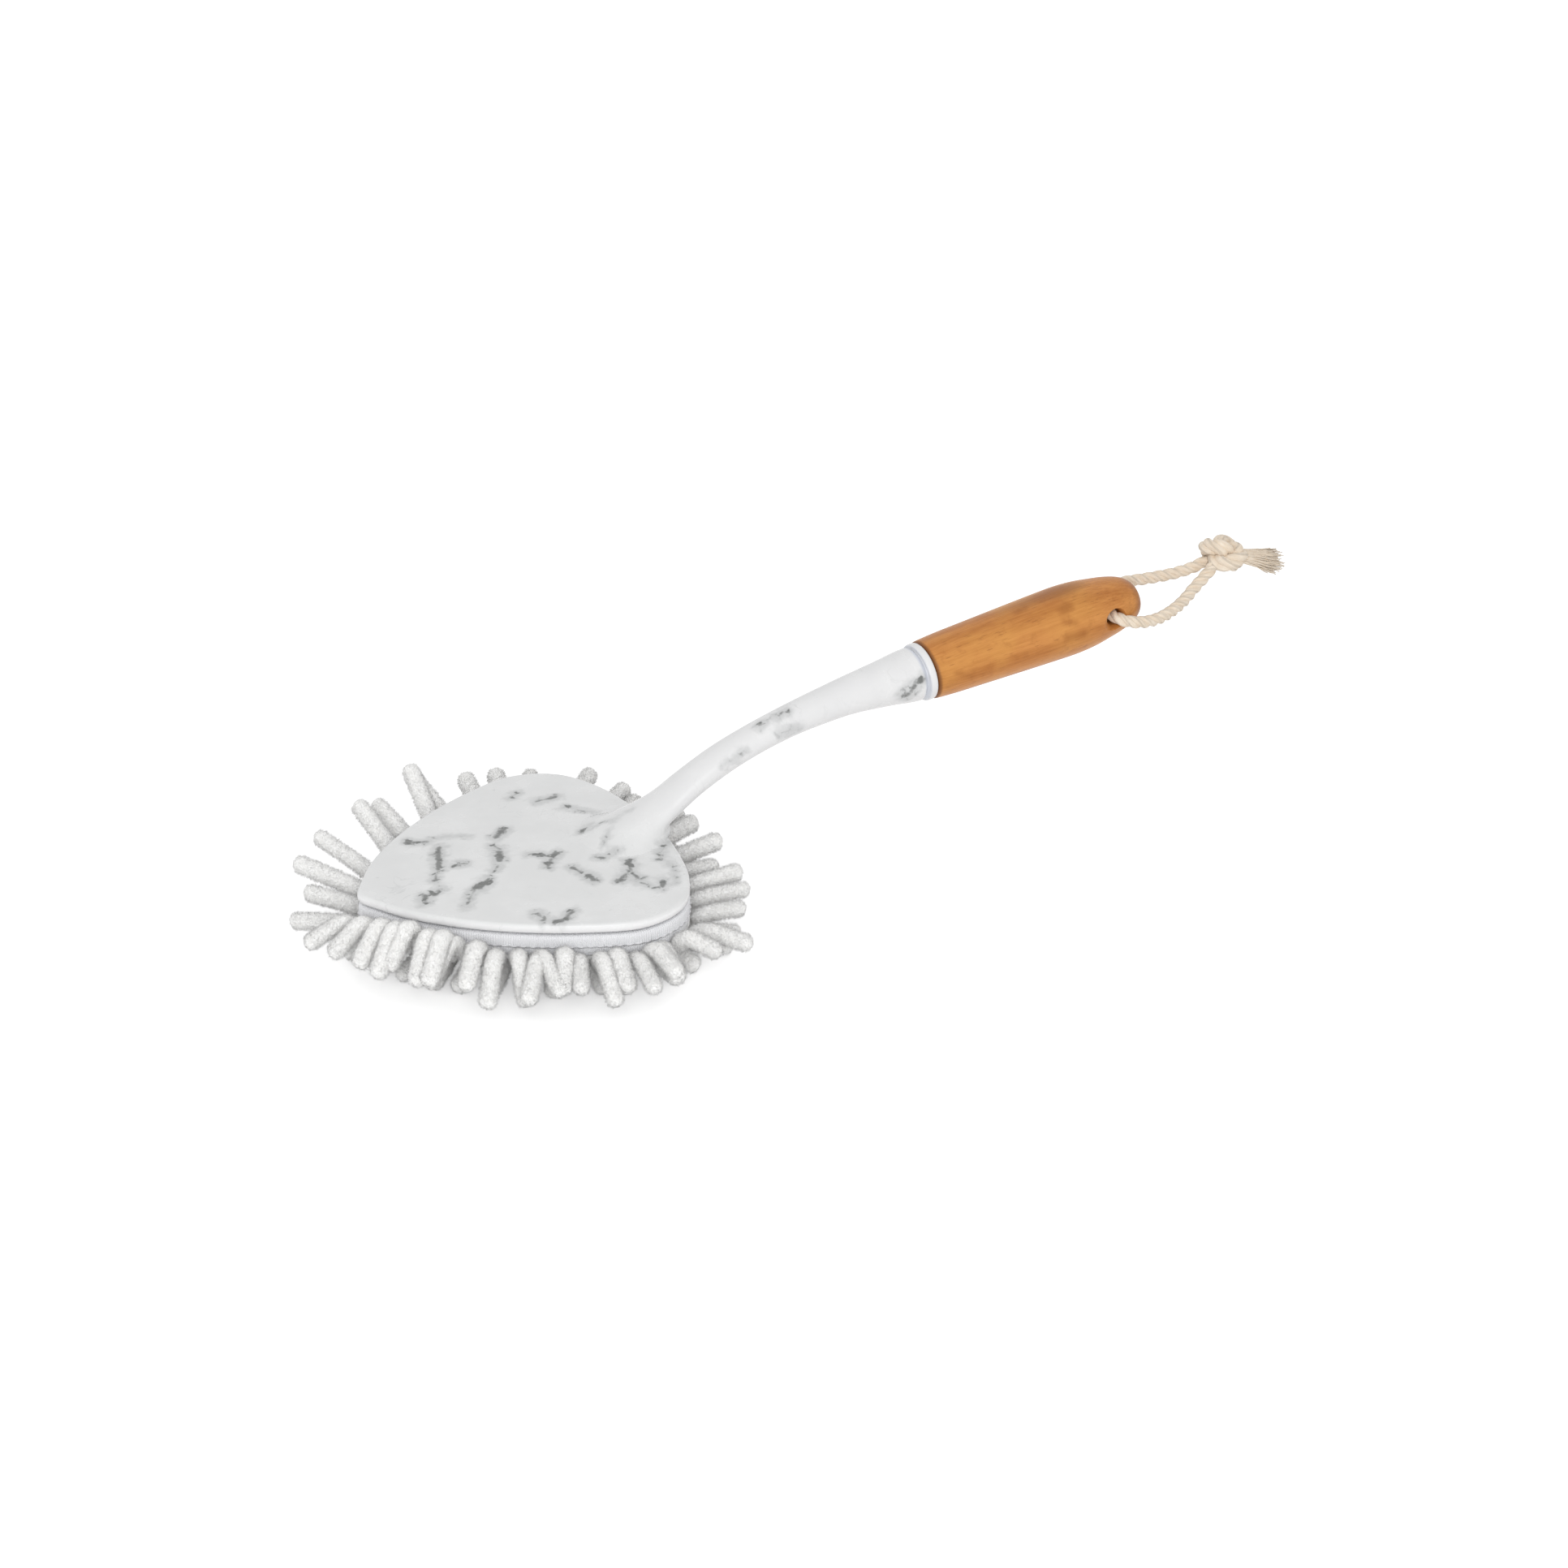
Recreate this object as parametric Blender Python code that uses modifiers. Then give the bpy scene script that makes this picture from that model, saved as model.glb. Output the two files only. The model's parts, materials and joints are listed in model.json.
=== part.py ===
"""Hand duster: a moulded head with a long curved neck, a bamboo grip with a rope loop,
and a removable pad of chenille noodles held under the head by hook tape.

Metres, +Z up. The duster stands on its noodles. The grip points to +X, the tip of the
head to -X, and the plane y = 0 is the middle of everything but the rope. The design is
laid out from the rear edge of the head plate (x = 0) and from the surface it stands on
(z = 0), and one empty then moves the lot, so that the world origin is the middle of the
footprint.
"""

import bisect
import math

import bmesh
import bpy
from mathutils import Matrix, Vector

# Clearances
FIT_GAP = 0.0003
CUT_OVERRUN = 0.002

# Head plate
PLATE_LENGTH = 0.118
PLATE_WIDTH = 0.1285
PLATE_THICKNESS = 0.0036
PLATE_TOP_HEIGHT = 0.027
PLATE_EDGE_RADIUS = 0.0013
OUTLINE_SHARES = (
    (0.0, 0.0),
    (0.010, 0.276),
    (0.052, 0.627),
    (0.140, 0.900),
    (0.290, 1.0),
    (0.460, 0.906),
    (0.630, 0.744),
    (0.780, 0.543),
    (0.895, 0.332),
    (0.972, 0.117),
    (1.0, 0.0),
)
OUTLINE_POINTS = 72
OUTLINE_CENTRE_SHARE = 0.46

# Neck, from inside the plate to the seam with the grip
NECK_LENGTH = 0.1129
NECK_RISE = 0.0403
COLLAR_WIDTH = 0.0242
COLLAR_DEPTH = 0.0225
GRIP_PITCH = math.radians(7.8)
NECK_SHARES = (
    (-0.266, -0.238, 1.157, 0.444),
    (-0.190, -0.114, 1.302, 0.604),
    (-0.102, 0.015, 1.095, 0.587),
    (-0.031, 0.117, 0.876, 0.498),
    (0.028, 0.211, 0.752, 0.453),
    (0.119, 0.372, 0.661, 0.462),
    (0.224, 0.526, 0.612, 0.484),
    (0.329, 0.645, 0.587, 0.489),
    (0.436, 0.742, 0.587, 0.502),
    (0.543, 0.819, 0.607, 0.538),
    (0.699, 0.906, 0.678, 0.631),
    (0.845, 0.955, 0.810, 0.787),
    (0.912, 0.974, 0.893, 0.884),
    (0.953, 0.985, 0.926, 0.924),
)
NECK_SIDES = 24
BEAD_LENGTH = 0.003
BEAD_ROUND_RADIUS = 0.0006

# Tenon of the neck and its socket in the grip
TENON_RADIUS = 0.0066
TENON_LENGTH = 0.032
TENON_CHAMFER = 0.0012
SOCKET_END_GAP = 0.001

# Bamboo grip
GRIP_LENGTH = 0.0958
GRIP_WIDTH = 0.0300
GRIP_DEPTH = 0.0273
GRIP_PROFILE_SHARES = (
    (0.0, 0.810),
    (0.012, 0.838),
    (0.10, 0.880),
    (0.24, 0.915),
    (0.42, 0.958),
    (0.58, 0.992),
    (0.67, 1.0),
    (0.75, 0.965),
    (0.82, 0.892),
    (0.885, 0.810),
    (0.942, 0.690),
    (0.981, 0.520),
    (1.0, 0.300),
)
GRIP_SIDES = 32
ROPE_HOLE_END_DISTANCE = 0.0159
ROPE_HOLE_RADIUS = 0.0041
ROPE_HOLE_FLARE_WIDTH = 0.0017
ROPE_HOLE_SIDES = 24

# Pad layers, from the plate down
HOOK_TAPE_THICKNESS = 0.0015
HOOK_TAPE_WIDTH = 0.018
HOOK_TAPE_SPACING = 0.031
HOOK_TAPE_LENGTH_SHARE = 0.61
HOOK_TAPE_SIDE_LENGTH_SHARE = 0.41
HOOK_TAPE_CORNER = 0.003
HOOK_TAPE_MIDDLE_SHARE = 0.46
HOOK_TAPE_SIDE_MIDDLE_SHARE = 0.32
LOOP_CLOTH_THICKNESS = 0.0008
FOAM_THICKNESS = 0.0040
BASE_CLOTH_THICKNESS = 0.0008
LAYER_INSET = 0.0016
BINDING_WALL_THICKNESS = 0.0012
BINDING_LIP_THICKNESS = 0.0007
BINDING_LIP_WIDTH = 0.0048
BINDING_ROUND_RADIUS = 0.0012

# Noodles
NOODLE_RADIUS = 0.0033
NOODLE_SINK = 0.0005
NOODLE_TAPE_THICKNESS = 0.0010
NOODLE_TAPE_WIDTH = 0.0058
ROW_TAPE_WIDTH = 0.0070
RING_COUNT = 33
FRINGE_INSET = 0.0031
NOODLE_FAN_SHARE = 0.45
FRINGE_LENGTH = 0.0285
FRINGE_DIP_DEPTH = 0.0016
FRINGE_TIP_HEIGHT = 0.0145
FRINGE_TURN_UP_HEIGHT = 0.0175
FRINGE_DROP_DEPTH = 0.0035
FRINGE_REAR_CUT_SHARE = 0.10
FRINGE_CORNER_GROWTH_SHARE = 0.13
SKIRT_INSET = 0.0107
SKIRT_LENGTH = 0.0172
SKIRT_REAR_GROWTH_SHARE = 0.70
SKIRT_REAR_SAG_DEPTH = 0.0036
ROW_INSET = 0.0205
ROW_PITCH = 0.0092
ROW_NOODLE_PITCH = 0.0094
ROW_SPREAD_SHARE = 0.18
REACH_WAVER_SHARE = 0.07
LYING_TIP_HEIGHT = 0.0014
# Along a noodle: share of its reach, of its fall, of the dip under the band, of the sag
# on to the surface, and of its radius.
FRINGE_SHARES = (
    (0.0, 0.0, 0.0, 0.0, 0.18),
    (0.11, 0.0, 0.95, 0.0, 0.40),
    (0.27, 0.05, 1.0, 0.0, 1.0),
    (0.46, 0.32, 0.60, 0.0, 1.0),
    (0.70, 0.64, 0.30, 0.0, 1.0),
    (0.92, 0.92, 0.0, 0.0, 1.0),
    (1.0, 1.0, 0.0, 0.0, 0.55),
)
SKIRT_SHARES = (
    (0.0, 0.0, 0.0, 0.0, 0.50),
    (0.05, 0.20, 0.0, 0.20, 0.95),
    (0.15, 0.42, 0.0, 0.75, 1.0),
    (0.35, 0.66, 0.0, 1.0, 1.0),
    (0.85, 0.93, 0.0, 0.10, 1.0),
    (1.0, 1.0, 0.0, 0.0, 0.55),
)
ROW_SHARES = (
    (0.0, 0.0, 0.0, 0.0, 0.60),
    (0.04, 0.14, 0.0, 0.0, 1.0),
    (0.92, 0.87, 0.0, 0.0, 1.0),
    (1.0, 1.0, 0.0, 0.0, 0.62),
)

# Rope
ROPE_RADIUS = 0.0025
ROPE_POINTS = 44
KNOT_RING_RADIUS = 0.0043
KNOT_TWIST_RADIUS = 0.0026
KNOT_ROPE_RADIUS = 0.0026
KNOT_POINTS = 72
KNOT_VOXEL_SIZE = 0.0006
KNOT_LIE_SHARE = 0.9
KNOT_KEPT_FACES_SHARE = 0.08
YARN_RADIUS = 0.0011
YARN_COUNT = 7
YARN_TAPER_SHARE = 0.25
TAIL_ROOT_RADIUS = 0.0017
TAIL_END_RADIUS = 0.0048
TAIL_LENGTH = 0.0195
# The rope's route, from the middle of the hole: out of the knot along the near side,
# through the grip, and back along the far side.
ROPE_ROUTE = (
    (0.0519, -0.0029, 0.0098),
    (0.0469, -0.0034, 0.0056),
    (0.0410, -0.0048, 0.0020),
    (0.0351, -0.0074, -0.0006),
    (0.0281, -0.0106, -0.0021),
    (0.0200, -0.0138, -0.0027),
    (0.0122, -0.0156, -0.0024),
    (0.0058, -0.0152, -0.0015),
    (0.0018, -0.0125, -0.0006),
    (0.0004, -0.0075, 0.0),
    (0.0, 0.0, 0.0),
    (0.0004, 0.0075, 0.0),
    (0.0018, 0.0125, 0.0003),
    (0.0060, 0.0152, 0.0006),
    (0.0125, 0.0156, 0.0012),
    (0.0218, 0.0136, 0.0020),
    (0.0312, 0.0102, 0.0032),
    (0.0398, 0.0066, 0.0049),
    (0.0468, 0.0040, 0.0072),
    (0.0520, 0.0029, 0.0096),
)
KNOT_PLACE = (0.0580, 0.0, 0.0124)
TAIL_START = (0.0645, 0.0, 0.0106)
TAIL_DROP = math.radians(18)

# Heights that the layers share
PLATE_BOTTOM = PLATE_TOP_HEIGHT - PLATE_THICKNESS
HOOK_TOP = PLATE_BOTTOM - FIT_GAP
HOOK_BOTTOM = HOOK_TOP - HOOK_TAPE_THICKNESS
LOOP_TOP = HOOK_BOTTOM - FIT_GAP
LOOP_BOTTOM = LOOP_TOP - LOOP_CLOTH_THICKNESS
FOAM_TOP = LOOP_BOTTOM - FIT_GAP
FOAM_BOTTOM = FOAM_TOP - FOAM_THICKNESS
BASE_TOP = FOAM_BOTTOM - FIT_GAP
BASE_BOTTOM = BASE_TOP - BASE_CLOTH_THICKNESS
BINDING_TOP = LOOP_TOP + FIT_GAP + BINDING_LIP_THICKNESS
BINDING_BOTTOM = BASE_BOTTOM - FIT_GAP - BINDING_LIP_THICKNESS
ROW_TAPE_TOP = BASE_BOTTOM - FIT_GAP
FRINGE_TAPE_TOP = BINDING_BOTTOM - FIT_GAP


def clear_scene():
    for obj in list(bpy.data.objects):
        bpy.data.objects.remove(obj, do_unlink=True)


def collection(name, hidden=False):
    made = bpy.data.collections.new(name)
    made.hide_render = hidden
    bpy.context.scene.collection.children.link(made)
    return made


def material(name, colour, roughness, metallic=0.0):
    made = bpy.data.materials.new(name)
    made.use_nodes = True
    shader = made.node_tree.nodes["Principled BSDF"]
    shader.inputs["Base Color"].default_value = (*colour, 1.0)
    shader.inputs["Roughness"].default_value = roughness
    shader.inputs["Metallic"].default_value = metallic
    made.diffuse_color = (*colour, 1.0)
    return made


def object_from(bm, name, group, surface=None):
    """A new object that takes over this bmesh's faces."""
    bmesh.ops.recalc_face_normals(bm, faces=bm.faces)
    mesh = bpy.data.meshes.new(name)
    bm.to_mesh(mesh)
    bm.free()
    obj = bpy.data.objects.new(name, mesh)
    group.objects.link(obj)
    if surface:
        mesh.materials.append(surface)
    return obj


def round_shaded(obj, angle=math.radians(35)):
    obj.data.shade_smooth()
    obj.data.set_sharp_from_angle(angle=angle)


def cutter(obj):
    obj.hide_render = True
    obj.display_type = "WIRE"
    return obj


def combine(obj, other, operation):
    """Adds a Boolean of obj with other."""
    modifier = obj.modifiers.new(f"{operation.title()} {other.name}", "BOOLEAN")
    modifier.operation = operation
    modifier.object = other
    modifier.solver = "EXACT"


def rounded(obj, width, segments=2, angle=math.radians(50)):
    modifier = obj.modifiers.new("Rounded edges", "BEVEL")
    modifier.width = width
    modifier.segments = segments
    modifier.limit_method = "ANGLE"
    modifier.angle_limit = angle


def smooth_points(points, per_span, closed=False):
    """Points on the Catmull-Rom curve through these ones."""
    points = [Vector(p) for p in points]
    count = len(points)
    spans = count if closed else count - 1

    def at(i):
        if closed:
            return points[i % count]
        if i < 0:
            return 2 * points[0] - points[1]
        if i >= count:
            return 2 * points[-1] - points[-2]
        return points[i]

    found = []
    for i in range(spans):
        a, b, c, d = at(i - 1), at(i), at(i + 1), at(i + 2)
        for step in range(per_span):
            t = step / per_span
            bend = 2 * a - 5 * b + 4 * c - d
            twist = 3 * b - a - 3 * c + d
            found.append(b + ((c - a) * t + bend * t**2 + twist * t**3) / 2)
    if not closed:
        found.append(points[-1])
    return found


def evenly_spaced(points, count, closed=False, start_share=0.0):
    """This many points at equal distances along a polyline."""
    line = points + [points[0]] if closed else points
    along = [0.0]
    for a, b in zip(line, line[1:]):
        along.append(along[-1] + (b - a).length)
    gaps = count if closed else count - 1
    found = []
    for i in range(count):
        distance = along[-1] * ((i + start_share) / gaps % 1 if closed else i / gaps)
        k = min(max(bisect.bisect_right(along, distance) - 1, 0), len(line) - 2)
        span = along[k + 1] - along[k]
        found.append(line[k].lerp(line[k + 1], min((distance - along[k]) / span, 1.0)))
    return found


def plate_outline():
    """The head's outline, a rounded triangle, from the rear edge round by +Y."""
    half_width = PLATE_WIDTH / 2
    half = [Vector((-back * PLATE_LENGTH, out * half_width)) for back, out in OUTLINE_SHARES]
    mirrored = [Vector((p.x, -p.y)) for p in reversed(half[1:-1])]
    return smooth_points(half + mirrored, per_span=12, closed=True)


OUTLINE = plate_outline()
OUTLINE_CENTRE = Vector((-OUTLINE_CENTRE_SHARE * PLATE_LENGTH, 0))


def inset_outline(inset, count=OUTLINE_POINTS, start_share=0.0):
    """The outline drawn in towards its middle, by this much at the widest place."""
    share = 1 - inset / (PLATE_WIDTH / 2)
    points = evenly_spaced(OUTLINE, count, closed=True, start_share=start_share)
    return [OUTLINE_CENTRE + (p - OUTLINE_CENTRE) * share for p in points]


def outward_directions(points):
    """Where the noodles at these points of an outline point.

    That is the outline's normal, fanned out towards the line from the outline's middle.
    """
    count = len(points)
    found = []
    for i in range(count):
        along = (points[(i + 1) % count] - points[i - 1]).normalized()
        normal = Vector((along.y, -along.x))
        from_middle = (points[i] - OUTLINE_CENTRE).normalized()
        if normal.dot(from_middle) < 0:
            normal.negate()
        found.append(normal.lerp(from_middle, NOODLE_FAN_SHARE).normalized())
    return found


def slab(name, outline, low, high, group, surface=None):
    """A flat sheet with this outline between two heights."""
    bm = bmesh.new()
    face = bm.faces.new([bm.verts.new((p.x, p.y, low)) for p in outline])
    grown = bmesh.ops.extrude_face_region(bm, geom=[face])
    top = [item for item in grown["geom"] if isinstance(item, bmesh.types.BMVert)]
    bmesh.ops.translate(bm, verts=top, vec=(0, 0, high - low))
    return object_from(bm, name, group, surface)


def box(name, low, high, group, surface=None):
    bm = bmesh.new()
    bmesh.ops.create_cube(bm, size=1)
    size = Vector(high) - Vector(low)
    middle = (Vector(high) + Vector(low)) / 2
    bmesh.ops.transform(bm, matrix=Matrix.Translation(middle) @ Matrix.Diagonal((*size, 1)), verts=bm.verts)
    return object_from(bm, name, group, surface)


def tubes(name, lines, radius, group, surface=None, resolution=1, cyclic=False):
    """Round tubes along lines of (point, share of the radius), as one mesh with closed ends."""
    curve = bpy.data.curves.new(name, "CURVE")
    curve.dimensions = "3D"
    curve.bevel_depth = radius
    curve.bevel_resolution = resolution
    curve.use_fill_caps = not cyclic
    for line in lines:
        spline = curve.splines.new("POLY")
        spline.points.add(len(line) - 1)
        spline.use_cyclic_u = cyclic
        for place, (point, share) in zip(spline.points, line):
            place.co = (*point, 1)
            place.radius = share
    drawn = bpy.data.objects.new(name, curve)
    group.objects.link(drawn)
    bpy.context.view_layer.update()
    evaluated = drawn.evaluated_get(bpy.context.evaluated_depsgraph_get())
    mesh = bpy.data.meshes.new_from_object(evaluated)
    placed = drawn.matrix_world.copy()
    bpy.data.objects.remove(drawn, do_unlink=True)
    bm = bmesh.new()
    bm.from_mesh(mesh)
    bpy.data.meshes.remove(mesh)
    bmesh.ops.remove_doubles(bm, verts=bm.verts, dist=FIT_GAP / 100)
    obj = object_from(bm, name, group, surface)
    obj.matrix_world = placed
    return obj


def loft(name, rings, group, surface=None):
    """Joins rings of equally many points, in order, and closes both ends."""
    bm = bmesh.new()
    loops = [[bm.verts.new(p) for p in ring] for ring in rings]
    for first, second in zip(loops, loops[1:]):
        for i in range(len(first)):
            j = (i + 1) % len(first)
            bm.faces.new((first[i], first[j], second[j], second[i]))
    bm.faces.new(loops[0])
    bm.faces.new(reversed(loops[-1]))
    return object_from(bm, name, group, surface)


def section(centre, along, width, depth, sides=NECK_SIDES):
    """An oval ring across a direction in the plane y = 0."""
    up = Vector((-along.z, 0, along.x))
    across = Vector((0, 1, 0))
    ring = []
    for i in range(sides):
        angle = math.tau * i / sides
        ring.append(centre + across * (width / 2 * math.cos(angle)) + up * (depth / 2 * math.sin(angle)))
    return ring


def grip_direction():
    return Vector((math.cos(GRIP_PITCH), 0, math.sin(GRIP_PITCH)))


def seam_centre():
    """The middle of the joint between the collar and the grip."""
    return Vector((NECK_LENGTH, 0, PLATE_TOP_HEIGHT + NECK_RISE))


def hole_centre():
    return seam_centre() + grip_direction() * (GRIP_LENGTH + FIT_GAP - ROPE_HOLE_END_DISTANCE)


def neck_rings():
    """The neck's sections along its curve, then the collar's bead and the tenon."""
    stations = []
    for x, z, width, depth in NECK_SHARES:
        height = PLATE_TOP_HEIGHT + z * NECK_RISE
        stations.append(Vector((x * NECK_LENGTH, width * COLLAR_WIDTH, height, depth * COLLAR_DEPTH)))
    direction, seam = grip_direction(), seam_centre()
    bead = seam - direction * BEAD_LENGTH
    last_width, last_depth = NECK_SHARES[-1][2:]
    stations.append(Vector((bead.x, last_width * COLLAR_WIDTH, bead.z, last_depth * COLLAR_DEPTH)))
    stations = smooth_points(stations, per_span=2)
    rings = []
    for i, station in enumerate(stations):
        before, after = stations[max(i - 1, 0)], stations[min(i + 1, len(stations) - 1)]
        along = Vector((after[0] - before[0], 0, after[2] - before[2])).normalized()
        if i == len(stations) - 1:
            along = direction
        rings.append(section(Vector((station[0], 0, station[2])), along, station[1], station[3]))
    shrink = 2 * BEAD_ROUND_RADIUS
    for place, narrower in (
        (bead, shrink),
        (bead + direction * BEAD_ROUND_RADIUS, 0),
        (seam - direction * BEAD_ROUND_RADIUS, 0),
        (seam, shrink),
    ):
        rings.append(section(place, direction, COLLAR_WIDTH - narrower, COLLAR_DEPTH - narrower))
    tenon = 2 * TENON_RADIUS
    tip = 2 * (TENON_RADIUS - TENON_CHAMFER)
    rings.append(section(seam, direction, tenon, tenon))
    rings.append(section(seam + direction * (TENON_LENGTH - TENON_CHAMFER), direction, tenon, tenon))
    rings.append(section(seam + direction * TENON_LENGTH, direction, tip, tip))
    return rings


def make_head(parts, helpers, surface):
    """Plate, neck, collar and tenon: one moulding."""
    plate = slab("head_shell", inset_outline(0), PLATE_BOTTOM, PLATE_TOP_HEIGHT, parts, surface)
    rounded(plate, PLATE_EDGE_RADIUS)
    neck = cutter(loft("neck_form", neck_rings(), helpers))
    combine(plate, neck, "UNION")
    reach = PLATE_LENGTH
    # The neck's root ends inside the plate's thickness.
    below = box(
        "root_trim",
        (-reach, -PLATE_WIDTH, PLATE_BOTTOM - PLATE_TOP_HEIGHT),
        (reach, PLATE_WIDTH, PLATE_BOTTOM + PLATE_THICKNESS / 3),
        helpers,
    )
    combine(neck, cutter(below), "DIFFERENCE")
    round_shaded(plate)
    return plate


def make_hook_tapes(parts, surface):
    """Three strips of hook tape under the plate."""
    made = []
    for name, side in (("left", 1), ("centre", 0), ("right", -1)):
        length = PLATE_LENGTH * (HOOK_TAPE_SIDE_LENGTH_SHARE if side else HOOK_TAPE_LENGTH_SHARE)
        middle = -PLATE_LENGTH * (HOOK_TAPE_SIDE_MIDDLE_SHARE if side else HOOK_TAPE_MIDDLE_SHARE)
        across = side * HOOK_TAPE_SPACING
        tape = box(
            f"hook_tape_{name}",
            (middle - length / 2, across - HOOK_TAPE_WIDTH / 2, HOOK_BOTTOM),
            (middle + length / 2, across + HOOK_TAPE_WIDTH / 2, HOOK_TOP),
            parts,
            surface,
        )
        upright = tape.modifiers.new("Rounded corners", "BEVEL")
        upright.width = HOOK_TAPE_CORNER
        upright.segments = 3
        upright.limit_method = "WEIGHT"
        weights = tape.data.attributes.new("bevel_weight_edge", "FLOAT", "EDGE")
        for edge in tape.data.edges:
            low, high = (tape.data.vertices[v].co for v in edge.vertices)
            weights.data[edge.index].value = float(abs(low.z - high.z) > HOOK_TAPE_THICKNESS / 2)
        round_shaded(tape)
        made.append(tape)
    return made


def make_grip(parts, helpers, surface):
    """A turned and flattened bamboo grip with a blind socket and a cross hole for the rope."""
    bm = bmesh.new()
    # The profile lies at +X of the turning axis and runs down, from the rounded end to the seam.
    profile = smooth_points(
        [Vector((share * GRIP_DEPTH / 2, 0, along * GRIP_LENGTH)) for along, share in GRIP_PROFILE_SHARES], 1
    )
    points = [Vector((0, 0, GRIP_LENGTH)), *reversed(profile), Vector((0, 0, 0))]
    verts = [bm.verts.new(p) for p in points]
    for a, b in zip(verts, verts[1:]):
        bm.edges.new((a, b))
    mesh = bpy.data.meshes.new("grip_profile")
    bm.to_mesh(mesh)
    bm.free()
    turned = bpy.data.objects.new("grip_profile", mesh)
    helpers.objects.link(turned)
    screw = turned.modifiers.new("Turned", "SCREW")
    screw.axis = "Z"
    screw.steps = screw.render_steps = GRIP_SIDES
    screw.use_merge_vertices = True
    screw.merge_threshold = FIT_GAP / 100
    bpy.context.view_layer.update()
    shape = bpy.data.meshes.new_from_object(turned.evaluated_get(bpy.context.evaluated_depsgraph_get()))
    bpy.data.objects.remove(turned, do_unlink=True)
    bm = bmesh.new()
    bm.from_mesh(shape)
    bpy.data.meshes.remove(shape)
    bmesh.ops.remove_doubles(bm, verts=bm.verts, dist=FIT_GAP / 100)
    direction = grip_direction()
    start = seam_centre() + direction * FIT_GAP
    lay_down = Matrix.Translation(start) @ Matrix.Rotation(math.pi / 2 - GRIP_PITCH, 4, "Y")
    flatten = Matrix.Diagonal((1, GRIP_WIDTH / GRIP_DEPTH, 1, 1))
    bmesh.ops.transform(bm, matrix=lay_down @ flatten, verts=bm.verts)
    grip = object_from(bm, "bamboo_handle", parts, surface)

    bm = bmesh.new()
    depth = TENON_LENGTH + SOCKET_END_GAP + CUT_OVERRUN
    bore = TENON_RADIUS + FIT_GAP
    bmesh.ops.create_cone(
        bm, cap_ends=True, segments=NECK_SIDES, radius1=bore, radius2=bore, depth=depth
    )
    place = Matrix.Translation(start + direction * (depth / 2 - CUT_OVERRUN)) @ Matrix.Rotation(
        math.pi / 2 - GRIP_PITCH, 4, "Y"
    )
    bmesh.ops.transform(bm, matrix=place, verts=bm.verts)
    combine(grip, cutter(object_from(bm, "tenon_socket", helpers)), "DIFFERENCE")
    combine(grip, cutter(make_rope_hole(helpers)), "DIFFERENCE")
    round_shaded(grip)
    return grip


def make_rope_hole(helpers):
    """The cross hole for the rope, flared where it comes out of both sides."""
    half = GRIP_WIDTH / 2 + CUT_OVERRUN
    side = GRIP_WIDTH / 2 * 0.875
    flare = ROPE_HOLE_RADIUS + ROPE_HOLE_FLARE_WIDTH
    stations = (
        (-half, flare + half - side),
        (-side, flare),
        (-side + 2 * ROPE_HOLE_FLARE_WIDTH, ROPE_HOLE_RADIUS),
        (side - 2 * ROPE_HOLE_FLARE_WIDTH, ROPE_HOLE_RADIUS),
        (side, flare),
        (half, flare + half - side),
    )
    centre = hole_centre()
    rings = []
    for across, radius in stations:
        ring = []
        for i in range(ROPE_HOLE_SIDES):
            angle = math.tau * i / ROPE_HOLE_SIDES
            ring.append(centre + Vector((radius * math.cos(angle), across, radius * math.sin(angle))))
        rings.append(ring)
    return loft("rope_hole", rings, helpers)


def make_pad_layers(parts, helpers, cloth, foam, band):
    """Loop cloth, foam, base cloth, and the folded band that holds their edges."""
    layers = inset_outline(LAYER_INSET)
    loop = slab("pad_loop_cloth", layers, LOOP_BOTTOM, LOOP_TOP, parts, cloth)
    core = slab("pad_foam_core", layers, FOAM_BOTTOM, FOAM_TOP, parts, foam)
    base = slab("pad_base_cloth", layers, BASE_BOTTOM, BASE_TOP, parts, cloth)
    binding = slab("pad_edge_band", inset_outline(0), BINDING_BOTTOM, BINDING_TOP, parts, band)
    rounded(binding, BINDING_ROUND_RADIUS)
    inside = inset_outline(BINDING_WALL_THICKNESS)
    hollow = slab("band_hollow", inside, BASE_BOTTOM - FIT_GAP, LOOP_TOP + FIT_GAP, helpers)
    window = slab(
        "band_window",
        inset_outline(BINDING_LIP_WIDTH),
        BINDING_BOTTOM - CUT_OVERRUN,
        BINDING_TOP + CUT_OVERRUN,
        helpers,
    )
    combine(binding, cutter(hollow), "DIFFERENCE")
    combine(binding, cutter(window), "DIFFERENCE")
    for layer in (loop, core, base, binding):
        round_shaded(layer)
    return [loop, core, base, binding]


def waver(i, kind=0):
    """A steady uneven value from -1 to 1, unlike for neighbours."""
    return math.sin(2.4 * i + 1.7 * kind) * 0.6 + math.sin(5.3 * i + 0.9 * kind + 1.1) * 0.4


def noodle_line(root, outward, reach, root_height, tip_height, sag, shares):
    """A noodle's middle line, from its tape to its tip."""
    line = []
    for out, fall, dip, sagging, radius in shares:
        height = root_height + (tip_height - root_height) * fall - FRINGE_DIP_DEPTH * dip - sag * sagging
        place = root + outward * (reach * out)
        line.append(((place.x, place.y, height), radius))
    return line


def behind_share(outward):
    """1 for a noodle that points straight back, 0 for one that points aside or forward."""
    turn = abs(math.degrees(math.atan2(outward.y, outward.x)))
    aside = min(max((turn - 30) / 35, 0), 1)
    return 1 - aside * aside * (3 - 2 * aside)


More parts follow.
